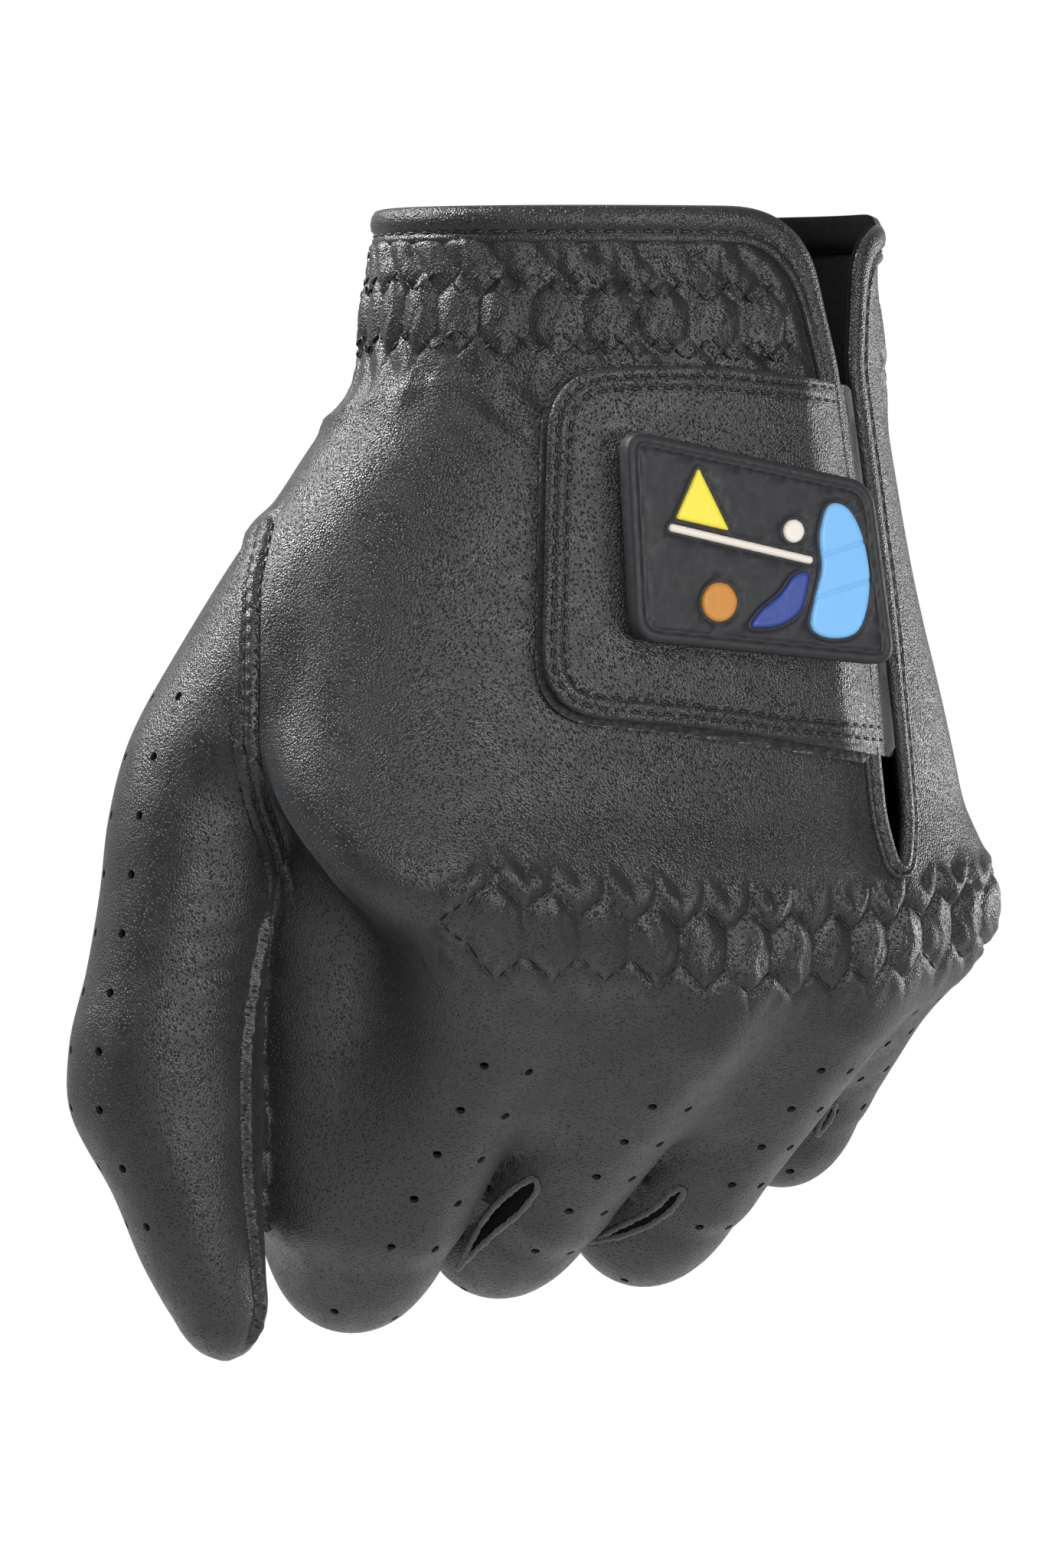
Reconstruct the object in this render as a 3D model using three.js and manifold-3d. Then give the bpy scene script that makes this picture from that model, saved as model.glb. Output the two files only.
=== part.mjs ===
// Golf glove for the left hand, filled as if worn and curled round a club grip.
// Millimetres. +Z goes up out of the wrist opening, -Y faces out of the back of the hand,
// +X goes towards the little finger. The origin is the centre of the wrist opening.
import * as THREE from "three";
import Module from "manifold-3d";

const LEATHER = 1.2;          // wall of a leather piece
const GAP = 0.35;             // space left between neighbouring pieces
const CUFF = 4.6;             // height of the rolled cuff edge
const BACK_END = -84;         // where the back panel meets the knuckle leather
const PALM_END = -80;         // where the palm panel meets the palm crease
const FINGER_START = 14;      // where the finger pieces begin, measured from the knuckle centre
const CROTCH = 24;            // where the fingers part, measured from the knuckle centre
const SIDE = 1.2;             // how much narrower than deep a finger is, each side
const SEAM_X = -47;          // how far towards the thumb its seam on the hand lies

const COLOURS = {
  leather: 0x3a3b3d, lining: 0x4b4b4c, binding: 0x343537, elastic: 0x232324, loop: 0x2a2a2c,
  hook: 0x1c1c1e, badge: 0x1b1c1e, sky: 0x7cb9e8, navy: 0x23408e, sun: 0xf6e84a,
  sand: 0xc8852a, white: 0xe9e4dc,
};

const FINGERS = [
  { name: "index", mcp: [-17.5, -12, -99.5], pip: [-37.6, 16, -139.6], side: [0.93, 0.36, 0],
    middle: 26, tip: 21, bend: [97, 52], radius: [12.3, 10.8, 9.9, 8.8] },
  { name: "middle", mcp: [6.5, -9.5, -102], pip: [-18, 26, -136], side: [0.9, 0.44, 0],
    middle: 30, tip: 22, bend: [98, 52], radius: [12.5, 10.8, 9.9, 9] },
  { name: "ring", mcp: [26, 3, -101], pip: [3.4, 32, -135], side: [0.86, 0.5, 0.08],
    middle: 28, tip: 21, bend: [96, 50], radius: [11.9, 10.4, 9.5, 8.6] },
  { name: "little", mcp: [37.8, 19, -95], pip: [21.5, 43.5, -122.5], side: [0.82, 0.56, 0.12],
    middle: 21, tip: 19, bend: [90, 48], radius: [10.6, 9.1, 8.5, 7.8] },
];

// Sections of the hand, from the cuff down: height, centre x and y, reach to the thumb side,
// to the little-finger side, to the back and to the palm, and the turn of the section.
const HAND = [
  [0, 1.7, 0, 32.7, 32.8, 23, 23.5, 8],
  [-12, 1, 0, 34, 33.6, 23.5, 23, 9],
  [-22, 0.5, 0, 34.8, 34.2, 24, 23, 10],
  [-35, 0, 0.5, 42, 36.5, 24, 23.5, 12],
  [-50, 0, 1, 47, 39.5, 24, 24, 15],
  [-65, 1, 0, 48.5, 42.8, 23, 21, 19],
  [-78, 3, -2, 49.5, 46, 21, 17, 24],
  [-88, 5, -4, 49, 48, 19, 14, 28],
];

// Sections of the thumb, from the wrist down: height, centre x and y, half width, half depth.
const THUMB = [
  [-36, -29.5, 1, 14, 17],
  [-45, -36.6, 0, 13.6, 16],
  [-60, -46.6, -2, 13, 15],
  [-70, -51.8, -3, 13, 14.4],
  [-80, -54.4, -4, 12.7, 13.8],
  [-90, -56, -4, 12.4, 13.2],
  [-100, -58, -4, 12.2, 12.8],
  [-110, -59.5, -4, 12.8, 13],
  [-118, -59.5, -3, 12.8, 12.6],
  [-130, -56.8, -2, 10.4, 11.6],
  [-140, -54.4, -1, 8.6, 10],
  [-146, -52.8, 0, 6.8, 8.2],
  [-149.6, -52.2, 0.2, 4.8, 6],
  [-151.5, -52, 0.4, 2, 2.6],
];

const vec = (x, y, z) => new THREE.Vector3(x, y, z);
const rad = (degrees) => degrees * Math.PI / 180;
const mix = (a, b, t) => a + (b - a) * t;

// A value from a table whose first column falls, smoothed between its rows.
function along(table, height, column) {
  let i = 0;
  while (i < table.length - 2 && height < table[i + 1][0]) i += 1;
  const t = (height - table[i][0]) / (table[i + 1][0] - table[i][0]);
  const rows = [Math.max(i - 1, 0), i, i + 1, Math.min(i + 2, table.length - 1)];
  const [a, b, c, d] = rows.map((r) => table[r][column]);
  const clamped = Math.min(Math.max(t, 0), 1);
  const slopeIn = (c - a) / 2;
  const slopeOut = (d - b) / 2;
  const t2 = clamped * clamped;
  const t3 = t2 * clamped;
  return (2 * t3 - 3 * t2 + 1) * b + (t3 - 2 * t2 + clamped) * slopeIn
    + (3 * t2 - 2 * t3) * c + (t3 - t2) * slopeOut;
}

// A point of the hand's skin. angle 0 is the little-finger side, 90 the back, 180 the thumb side.
function hand(angle, z, depth = 0) {
  const [cx, cy, left, right, back, palm, turn] = [1, 2, 3, 4, 5, 6, 7].map((c) => along(HAND, z, c));
  const c = Math.cos(rad(angle));
  const s = Math.sin(rad(angle));
  const lean = rad(mix(2, turn, (1 + c) / 2));
  const wide = (c > 0 ? right : left) - depth;
  const deep = (s > 0 ? back : palm) - depth;
  const x = cx + wide * c * Math.cos(lean) + deep * s * Math.sin(rad(turn));
  const y = cy + wide * c * Math.sin(lean) - deep * s * Math.cos(rad(turn));
  return vec(x, y, z);
}

// The point of the back of the hand that lies at x and z, lifted off the skin.
function back(x, z, lift = 0) {
  let low = 0;
  let high = 165;
  for (let i = 0; i < 40; i += 1) {
    const half = (low + high) / 2;
    if (hand(half, z).x > x) low = half;
    else high = half;
  }
  const here = hand(low, z);
  const across = hand(low + 0.5, z).sub(hand(low - 0.5, z));
  const up = hand(low, z + 0.5).sub(hand(low, z - 0.5));
  return here.addScaledVector(up.cross(across).normalize(), lift);
}

// A point of the thumb's skin. angle 0 faces the fingers, 90 the viewer of the back, 180 away.
function thumb(angle, z, depth = 0) {
  const [cx, cy, wide, deep] = [1, 2, 3, 4].map((c) => along(THUMB, z, c));
  const c = Math.cos(rad(angle));
  const s = Math.sin(rad(angle));
  return vec(cx + Math.max(wide - depth, 0.2) * c, cy - Math.max(deep - depth, 0.2) * s, z);
}

// Frame, lengths and bends of a finger, worked out once.
function prepare(finger) {
  const mcp = vec(...finger.mcp);
  const pip = vec(...finger.pip);
  const f = pip.clone().sub(mcp);
  const length = f.length();
  f.normalize();
  const across = vec(...finger.side);
  across.addScaledVector(f, -across.dot(f)).normalize();
  const up = f.clone().cross(across);
  const bends = finger.bend.map(rad);
  const arc = [finger.radius[1] + 0.6, finger.radius[2] + 0.6];
  const cut = arc.map((r, i) => r * Math.tan(bends[i] / 2));
  const runs = [length - cut[0], arc[0] * bends[0], finger.middle - cut[0] - cut[1], arc[1] * bends[1]];
  const marks = [0];
  runs.forEach((run) => marks.push(marks[marks.length - 1] + run));
  const end = marks[4] + finger.tip - cut[1] + finger.radius[3];
  return { ...finger, mcpAt: mcp, f, across, up, bends, arc, marks, end };
}

// Centre, direction and dorsal direction of a finger at a distance from the knuckle centre.
function fingerAt(g, s) {
  const at = g.mcpAt.clone();
  let angle = 0;
  const heading = (a) => g.f.clone().multiplyScalar(Math.cos(a)).addScaledVector(g.up, -Math.sin(a));
  const dorsal = (a) => g.up.clone().multiplyScalar(Math.cos(a)).addScaledVector(g.f, Math.sin(a));
  const first = Math.min(s, g.marks[1]);
  at.addScaledVector(heading(0), first);
  for (const bend of [0, 1]) {
    const from = g.marks[1 + 2 * bend];
    const to = g.marks[2 + 2 * bend];
    if (s > from) {
      const turned = g.bends[bend] * Math.min((s - from) / (to - from), 1);
      const centre = at.clone().addScaledVector(dorsal(angle), -g.arc[bend]);
      angle += turned;
      at.copy(centre).addScaledVector(dorsal(angle), g.arc[bend]);
    }
    if (s > to) {
      const stop = bend === 0 ? Math.min(s, g.marks[3]) : s;
      at.addScaledVector(heading(angle), stop - to);
    }
  }
  return { at, forward: heading(angle), up: dorsal(angle) };
}

function fingerRadius(g, s) {
  const stops = [0, (g.marks[1] + g.marks[2]) / 2, (g.marks[3] + g.marks[4]) / 2, g.end];
  for (let i = 0; i < 3; i += 1) {
    if (s <= stops[i + 1]) return mix(g.radius[i], g.radius[i + 1], (s - stops[i]) / (stops[i + 1] - stops[i]));
  }
  return g.radius[3];
}

// A point of a finger's skin. angle 0 is the little-finger side, 90 the back of the finger.
function fingerSkin(g, s, angle, depth = 0) {
  const { at, up } = fingerAt(g, s);
  const bump = (i) => {
    const t = (s - g.marks[i]) / (g.marks[i + 1] - g.marks[i]);
    return t > 0 && t < 1 ? Math.sin(Math.PI * t) ** 2 : 0;
  };
  const size = fingerRadius(g, s);
  const round = g.radius[3];
  const over = (s - (g.end - round)) / round;
  const shrink = over > 0 ? Math.sqrt(Math.max(1 - over * over, 0.0004)) : 1;
  const a = rad(angle);
  const knuckle = Math.sin(a) > 0 ? 5 * bump(1) + 1.5 * bump(3) : 0;
  const wide = Math.max((size - SIDE) * shrink - depth, 0.15);
  const deep = Math.max((size + knuckle) * shrink - depth, 0.15);
  return at.addScaledVector(g.across, wide * Math.cos(a)).addScaledVector(up, deep * Math.sin(a));
}

// ---- building closed solids ----

function solid(points, faces) {
  const geometry = new THREE.BufferGeometry();
  const flat = points.flatMap((p) => [p.x, p.y, p.z]);
  let volume = 0;
  for (const [a, b, c] of faces) volume += points[a].dot(points[b].clone().cross(points[c]));
  const index = faces.flatMap(([a, b, c]) => (volume > 0 ? [a, b, c] : [a, c, b]));
  geometry.setAttribute("position", new THREE.Float32BufferAttribute(flat, 3));
  geometry.setIndex(index);
  geometry.computeVertexNormals();
  return geometry;
}

// A sheet with thickness: skin(u, v, side) gives its outer (side 0) and inner (side 1) points.
function sheet(skin, nu, nv) {
  const points = [];
  const faces = [];
  const id = (i, j, side) => (side * (nv + 1) + j) * (nu + 1) + i;
  const quad = (a, b, c, d) => faces.push([a, b, c], [a, c, d]);
  for (const side of [0, 1]) {
    for (let j = 0; j <= nv; j += 1) {
      for (let i = 0; i <= nu; i += 1) points.push(skin(i / nu, j / nv, side));
    }
  }
  for (let j = 0; j < nv; j += 1) {
    for (let i = 0; i < nu; i += 1) {
      quad(id(i, j, 0), id(i + 1, j, 0), id(i + 1, j + 1, 0), id(i, j + 1, 0));
      quad(id(i, j, 1), id(i, j + 1, 1), id(i + 1, j + 1, 1), id(i + 1, j, 1));
    }
    quad(id(0, j, 0), id(0, j + 1, 0), id(0, j + 1, 1), id(0, j, 1));
    quad(id(nu, j, 0), id(nu, j, 1), id(nu, j + 1, 1), id(nu, j + 1, 0));
  }
  for (let i = 0; i < nu; i += 1) {
    quad(id(i, 0, 0), id(i, 0, 1), id(i + 1, 0, 1), id(i + 1, 0, 0));
    quad(id(i, nv, 0), id(i + 1, nv, 0), id(i + 1, nv, 1), id(i, nv, 1));
  }
  return solid(points, faces);
}

// A sleeve round a limb: skin(turn, v, side) with turn 0 to 1 going once round.
// A closed sleeve ends in a tip: its last outer and inner rings are filled in.
function sleeve(skin, nu, nv, closed = false) {
  const points = [];
  const faces = [];
  const id = (i, j, side) => (side * (nv + 1) + j) * nu + (i % nu);
  const quad = (a, b, c, d) => faces.push([a, b, c], [a, c, d]);
  for (const side of [0, 1]) {
    for (let j = 0; j <= nv; j += 1) {
      for (let i = 0; i < nu; i += 1) points.push(skin(i / nu, j / nv, side));
    }
  }
  for (let i = 0; i < nu; i += 1) {
    for (let j = 0; j < nv; j += 1) {
      quad(id(i, j, 0), id(i + 1, j, 0), id(i + 1, j + 1, 0), id(i, j + 1, 0));
      quad(id(i, j, 1), id(i, j + 1, 1), id(i + 1, j + 1, 1), id(i + 1, j, 1));
    }
    quad(id(i, 0, 0), id(i, 0, 1), id(i + 1, 0, 1), id(i + 1, 0, 0));
    if (!closed) quad(id(i, nv, 0), id(i + 1, nv, 0), id(i + 1, nv, 1), id(i, nv, 1));
  }
  if (closed) {
    for (const side of [0, 1]) {
      const middle = points.length;
      const centre = vec(0, 0, 0);
      for (let i = 0; i < nu; i += 1) centre.addScaledVector(points[id(i, nv, side)], 1 / nu);
      points.push(centre);
      for (let i = 0; i < nu; i += 1) {
        if (side === 0) faces.push([id(i, nv, 0), id(i + 1, nv, 0), middle]);
        else faces.push([id(i + 1, nv, 1), id(i, nv, 1), middle]);
      }
    }
  }
  return solid(points, faces);
}

const wasm = await Module();
wasm.setup();

function toManifold(geometry) {
  const mesh = new wasm.Mesh({
    numProp: 3,
    vertProperties: new Float32Array(geometry.attributes.position.array),
    triVerts: new Uint32Array(geometry.index.array),
  });
  return new wasm.Manifold(mesh);
}

function minus(geometry, tool) {
  const result = toManifold(geometry).subtract(toManifold(tool)).getMesh();
  const made = new THREE.BufferGeometry();
  made.setAttribute("position", new THREE.Float32BufferAttribute(result.vertProperties, 3));
  made.setIndex(Array.from(result.triVerts));
  made.computeVertexNormals();
  return made;
}

const group = new THREE.Group();

function add(name, geometry, colour, roughness = 0.7) {
  const material = new THREE.MeshStandardMaterial({ color: COLOURS[colour], roughness });
  const mesh = new THREE.Mesh(geometry, material);
  mesh.name = name;
  group.add(mesh);
}

// ---- cuff, back and palm ----

// The slit runs from the cuff, under the closure tab, down to the knuckles.
const SLIT = [[22.5, 3], [31.5, 3], [30.6, -21], [37.6, -81], [36.6, -82], [35.6, -81], [28.2, -21]];

function slitTool(grow) {
  const middle = (x, z) => (z > 0 ? 27 : mix(29.4, 36.6, (z + 21) / -60));
  const outline = SLIT.map(([x, z]) => [x + Math.sign(x - middle(x, z)) * grow, z]);
  outline[4] = [SLIT[4][0], SLIT[4][1] - grow];
  const walls = [-60, 9];
  const points = walls.flatMap((y) => outline.map(([x, z]) => vec(x, y, z)));
  const n = outline.length;
  const faces = [];
  for (let i = 0; i < n; i += 1) {
    const j = (i + 1) % n;
    faces.push([i, j, n + j], [i, n + j, n + i]);
  }
  const flat = outline.map(([x, z]) => new THREE.Vector2(x, z));
  for (const [a, b, c] of THREE.ShapeUtils.triangulateShape(flat, [])) {
    const sameWay = THREE.ShapeUtils.area([flat[a], flat[b], flat[c]]) * THREE.ShapeUtils.area(flat) > 0;
    const [p, q] = sameWay ? [c, b] : [b, c];
    faces.push([a, p, q], [n + a, n + q, n + p]);
  }
  return solid(points, faces);
}

function cuffAndPanels() {
  const cuff = sleeve((u, v, side) => {
    const lip = Math.sin(v * Math.PI) * 0.5;
    return hand(u * 360, mix(0, -CUFF, v), side === 0 ? -0.5 - lip : 1.7);
  }, 48, 2);
  add("cuff_binding", minus(cuff, slitTool(1.9)), "binding");

  const backPanel = sheet((u, v, side) => {
    const z = mix(-CUFF - GAP, BACK_END, v);
    const from = mix(158, 150, Math.max(v - 0.4, 0) / 0.6);
    return hand(mix(from, -8, u), z, side * LEATHER);
  }, 26, 12);
  add("back_panel", minus(backPanel, slitTool(1.9)), "leather");

  const palmPanel = sheet((u, v, side) => {
    const z = mix(-CUFF - GAP, PALM_END, v);
    return hand(mix(212, 351, u), z, side * LEATHER);
  }, 20, 10);
  add("palm_panel", palmPanel, "leather");

  add("wrist_elastic", sheet((u, v, side) => (
    hand(mix(150, 62, u), mix(-9, -21, v), LEATHER + GAP + side * 0.9)), 12, 1), "elastic");
  add("ulnar_elastic", sheet((u, v, side) => (
    hand(mix(14, 4, u), mix(-32, -68, v), LEATHER + GAP + side * 0.9)), 2, 5), "elastic");
  add("palm_elastic", sheet((u, v, side) => (
    hand(mix(225, 300, u), mix(-9, -19, v), LEATHER + GAP + side * 0.9)), 10, 1), "elastic");
  add("size_label", sheet((u, v, side) => (
    hand(mix(255, 275, u), mix(-22, -34, v), LEATHER + GAP + side * 0.4)), 3, 1), "lining");
}

// A narrow folded edge that runs down one side of the slit and up the other.
function slitBinding() {
  const path = [[22.4, -5.2], [24.6, -12], [27.6, -21], [31.6, -51], [35.2, -80.2], [36.6, -83.4],
    [38, -80.2], [34.6, -51], [31.4, -21], [31.6, -12], [31.8, -5.2]];
  const shift = (i) => {
    if (i < 5) return [1, 0];
    if (i === 5) return [0, 1];
    return [-1, 0];
  };
  const at = (t, v, side) => {
    const reach = t * (path.length - 1);
    const i = Math.min(Math.floor(reach), path.length - 2);
    const part = reach - i;
    const [dx0, dz0] = shift(i);
    const [dx1, dz1] = shift(i + 1);
    const x = mix(path[i][0], path[i + 1][0], part);
    const z = mix(path[i][1], path[i + 1][1], part);
    const lift = side === 0 ? 1.6 : 0.35;
    const level = back(x + 0.2, z, lift).sub(back(x - 0.2, z, lift)).normalize();
    const offset = (v - 0.5) * 2;
    return back(x, z, lift).addScaledVector(level, mix(dx0, dx1, part) * offset)
      .add(vec(0, 0, mix(dz0, dz1, part) * offset));
  };
  add("slit_binding", sheet(at, 20, 1), "binding");
}

// ---- closure tab with its badge ----

const TAB_TOP = [[-7, -22.4], [2, -21.8], [12, -21.8], [22, -22.2], [31.2, -24.2]];
const TAB_BOTTOM = [[-3, -67], [4, -67.8], [16, -69.4], [28, -70.8], [37.4, -71.6]];

function tabPoint(u, v, lift, inset = 0) {
  const pick = (row) => {
    const reach = u * (row.length - 1);
    const i = Math.min(Math.floor(reach), row.length - 2);
    return [mix(row[i][0], row[i + 1][0], reach - i), mix(row[i][1], row[i + 1][1], reach - i)];
  };
  const [x0, z0] = pick(TAB_TOP);
  const [x1, z1] = pick(TAB_BOTTOM);
  const bow = -2.4 * (1 - u) ** 2 * Math.sin(Math.PI * v);
  const x = mix(x0, x1, v) + bow + inset * (1 - 2 * u);
  const z = mix(z0, z1, v) - inset * (1 - 2 * v);
  return back(x, z, lift);
}

function tab() {
  add("tab_leather", sheet((u, v, side) => tabPoint(u, v, side === 0 ? 4.7 : 3.6), 8, 6), "leather");
  add("tab_backing", sheet((u, v, side) => (
    tabPoint(u, v, side === 0 ? 3.3 : 2.8, 1.2)), 8, 6), "lining");
  add("hook_patch", sheet((u, v, side) => (
    tabPoint(mix(0.06, 0.6, u), mix(0.1, 0.9, v), side === 0 ? 2.5 : 1.8)), 6, 6), "hook");
  add("loop_patch", sheet((u, v, side) => (
    back(mix(-11.5, 25, u), mix(-26, -66, v), side === 0 ? 1.5 : 0.4)), 8, 6), "loop");
}

const BADGE = { centre: vec(17.1, -25.6, -46), turn: 24, lift: 0 };
const BADGE_CORNERS = [[-19.3, 15.8], [15.8, 9.4], [19.2, -14.3], [-17.8, -11.2]];

// The badge's outline, drawn in by an inset, with rounded corners.
function badgeShape(inset, corner) {
  const n = BADGE_CORNERS.length;
  const moved = BADGE_CORNERS.map((p, i) => {
    const before = new THREE.Vector2(...BADGE_CORNERS[(i + n - 1) % n]);
    const here = new THREE.Vector2(...p);
    const after = new THREE.Vector2(...BADGE_CORNERS[(i + 1) % n]);
    const a = here.clone().sub(before).normalize();
    const b = after.clone().sub(here).normalize();
    const normal = (d) => new THREE.Vector2(d.y, -d.x);
    const turn = a.x * b.y - a.y * b.x;
    const along1 = b.clone().multiplyScalar(inset / -turn);
    const along2 = a.clone().multiplyScalar(-inset / -turn);
    return { at: here.add(along1).add(along2), a, b, normal };
  });
  const shape = new THREE.Shape();
  moved.forEach(({ at, a, b }, i) => {
    const from = at.clone().addScaledVector(a, -corner);
    const to = at.clone().addScaledVector(b, corner);
    if (i === 0) shape.moveTo(from.x, from.y);
    else shape.lineTo(from.x, from.y);
    shape.quadraticCurveTo(at.x, at.y, to.x, to.y);
  });
  shape.closePath();
  return shape;
}

// A flat piece standing on the badge, between two heights above its back face.
function badgePiece(shape, low, high) {
  const geometry = new THREE.ExtrudeGeometry(shape, { depth: high - low, bevelEnabled: false, curveSegments: 6 });
  geometry.translate(0, 0, low);
  geometry.rotateX(Math.PI / 2);
  geometry.rotateZ(rad(BADGE.turn));
  geometry.translate(BADGE.centre.x, BADGE.centre.y, BADGE.centre.z);
  return geometry;
}

function blob(points) {
  const shape = new THREE.Shape();
  const closed = new THREE.SplineCurve([...points, points[0]].map(([x, y]) => new THREE.Vector2(x, y)));
  shape.setFromPoints(closed.getPoints(points.length * 4).slice(0, -1));
  return shape;
}

function polygon(points) {
  return new THREE.Shape(points.map(([x, y]) => new THREE.Vector2(x, y)));
}

function badge() {
  add("badge_base", badgePiece(badgeShape(0, 3), 0, 1.7), "badge", 0.85);
  const rim = badgeShape(0, 3);
  rim.holes.push(new THREE.Path(badgeShape(1.4, 2.4).getPoints(6).slice(0, -1).reverse()));
  add("badge_rim", badgePiece(rim, 1.75, 2.9), "badge", 0.85);
  const inlay = (name, shape, colour) => add(name, badgePiece(shape, 1.8, 2.7), colour, 0.5);
  inlay("badge_sky", blob([[-15.5, 9], [-9, 11], [0, 8.6], [7, 6.6], [4, 2.2], [-6, 3], [-13, 3.4]]), "sky");
  inlay("badge_green", blob([[-14, -8.4], [-4, -9.2], [8, -11], [15.6, -11.2], [13, -6.6], [2, -5.6], [-9, -4.6]]),
    "navy");
  inlay("badge_pole", polygon([[-5.4, -3.6], [-4.2, -3.7], [-4.2, 2], [-5.4, 2]]), "white");
  inlay("badge_pennant", polygon([[-3.6, 1.6], [6.4, 0.4], [-3.6, -2.4]]), "sun");
  inlay("badge_ball", blob([[10, 1.4], [12, 2.2], [14, 1.4], [14.8, -0.6], [14, -2.6], [12, -3.4], [10, -2.6],
    [9.2, -0.6]]), "white");
  inlay("badge_sand", blob([[-14.6, 1.2], [-11.4, 1.6], [-8, 0.8], [-7.6, -2], [-11, -3.2], [-14.4, -2.4]]), "sand");
}

// ---- knuckles and fingers ----

const fingers = FINGERS.map(prepare);

// Points spread evenly along a line of points, each with the direction it carries.
function spread(line, count) {
  const run = [0];
  for (let i = 1; i < line.length; i += 1) run.push(run[i - 1] + line[i].at.distanceTo(line[i - 1].at));
  const out = [];
  let i = 0;
  for (let k = 0; k <= count; k += 1) {
    const want = run[run.length - 1] * k / count;
    while (i < line.length - 2 && run[i + 1] < want) i += 1;
    const t = (want - run[i]) / (run[i + 1] - run[i]);
    out.push({
      at: line[i].at.clone().lerp(line[i + 1].at, t),
      way: line[i].way.clone().lerp(line[i + 1].way, t),
    });
  }
  return out;
}

// A sheet that leads from the hand to the four fingers, over the back or over the palm.
function overKnuckles({ handArc, start, arcs, from, to, outer, inner, reach, nu, nv }) {
  const rows = [outer, inner].map((depth) => {
    const above = [];
    for (let i = 0; i <= 60; i += 1) {
      const angle = mix(handArc[0], handArc[1], i / 60);
      const at = hand(angle, start, depth);
      above.push({ at, way: hand(angle, start - 1, depth).sub(hand(angle, start + 1, depth)).normalize() });
    }
    const below = fingers.flatMap((g, k) => {
      const [a, b] = arcs[k];
      return Array.from({ length: 13 }, (_, i) => ({
        at: fingerSkin(g, FINGER_START - 2 * GAP, mix(a, b, i / 12), depth), way: g.f,
      }));
    });
    return [spread(above, nu), spread(below, nu)];
  });
  return sheet((u, v, side) => {
    const i = Math.round(u * nu);
    const a = rows[side][0][i];
    const b = rows[side][1][i];
    const t = mix(from, to, v);
    const t2 = t * t;
    const t3 = t2 * t;
    return a.at.clone().multiplyScalar(2 * t3 - 3 * t2 + 1)
      .addScaledVector(a.way, reach * (t3 - 2 * t2 + t))
      .addScaledVector(b.at, 3 * t2 - 2 * t3)
      .addScaledVector(b.way, reach * (t3 - t2));
  }, nu, nv);
}

function knuckles() {
  const overBack = { handArc: [150, -8], start: BACK_END - GAP, arcs: [[176, 38], [142, 38], [142, 38], [142, 4]],
    reach: 26 };
  add("knuckle_leather", overKnuckles({ ...overBack, from: 0, to: 1, outer: 0, inner: LEATHER, nu: 36, nv: 6 }),
    "leather");
  add("knuckle_elastic", overKnuckles({ ...overBack, from: 0.12, to: 0.62, outer: LEATHER + 0.5, inner: LEATHER + 1.3,
    nu: 28, nv: 3 }), "elastic");
  add("palm_crease", overKnuckles({ handArc: [212, 351], start: PALM_END - GAP,
    arcs: [[192, 320], [220, 320], [220, 320], [220, 350]], from: 0, to: 1, outer: 0, inner: LEATHER,
    reach: 16, nu: 36, nv: 4 }), "leather");
}

function fingerPieces(g, k) {
  const first = k === 0;
  const last = k === fingers.length - 1;
  const elbowStart = g.marks[1];
  const sides = { thumbward: first ? 180 : 146, outward: last ? 0 : 34 };
  const near = first ? 176 : sides.thumbward;
  const far = last ? 4 : sides.outward;
  add(`${g.name}_back`, sheet((u, v, side) => (
    fingerSkin(g, mix(FINGER_START, elbowStart - GAP, v), mix(near, far, u), side * LEATHER)), 8, 2), "leather");
  const nearFront = first ? 182 : 214;
  const farFront = last ? 358 : 326;
  add(`${g.name}_front`, sheet((u, v, side) => (
    fingerSkin(g, mix(FINGER_START, elbowStart - GAP, v), mix(nearFront, farFront, u), side * LEATHER)), 8, 2),
  "leather");
  const tube = (name, from, to, nv) => add(name, sleeve((u, v, side) => (
    fingerSkin(g, mix(from, to, v), u * 360, side * LEATHER)), 16, nv), "leather");
  tube(`${g.name}_elbow`, g.marks[1], g.marks[2] - GAP, 7);
  tube(`${g.name}_middle`, g.marks[2], g.marks[3] - GAP, 1);
  tube(`${g.name}_tip_elbow`, g.marks[3], g.marks[4] - GAP, 3);
  add(`${g.name}_tip`, sleeve((u, v, side) => {
    const run = g.end - g.marks[4] - side * LEATHER;
    const s = g.marks[4] + run * Math.sin(v * Math.PI / 2);
    return fingerSkin(g, s, u * 360, side * LEATHER);
  }, 16, 6, true), "leather");
}

// The side strip that lines two neighbouring fingers and joins them at their crotch.
function fourchette(a, b) {
  const leave = 3;
  add(`fourchette_${a.name}_${b.name}`, sheet((u, v, side) => {
    const depth = 0.1 + side * 0.9;
    const width = mix(-30, 30, v);
    const here = (g, s, outward) => fingerSkin(g, s, outward ? width : 180 - width, depth);
    const endA = a.marks[1] - leave;
    const endB = b.marks[1] - leave;
    const fold = 0.08;
    if (u < 0.5 - fold) return here(a, mix(endA, CROTCH, u / (0.5 - fold)), true);
    if (u > 0.5 + fold) return here(b, mix(CROTCH, endB, (u - 0.5 - fold) / (0.5 - fold)), false);
    const t = (u - 0.5 + fold) / (2 * fold);
    const bottom = -1.1 * side * Math.sin(t * Math.PI);
    return here(a, CROTCH + bottom, true).lerp(here(b, CROTCH + bottom, false), t);
  }, 16, 2), "lining");
}

// ---- thumb ----

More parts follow.
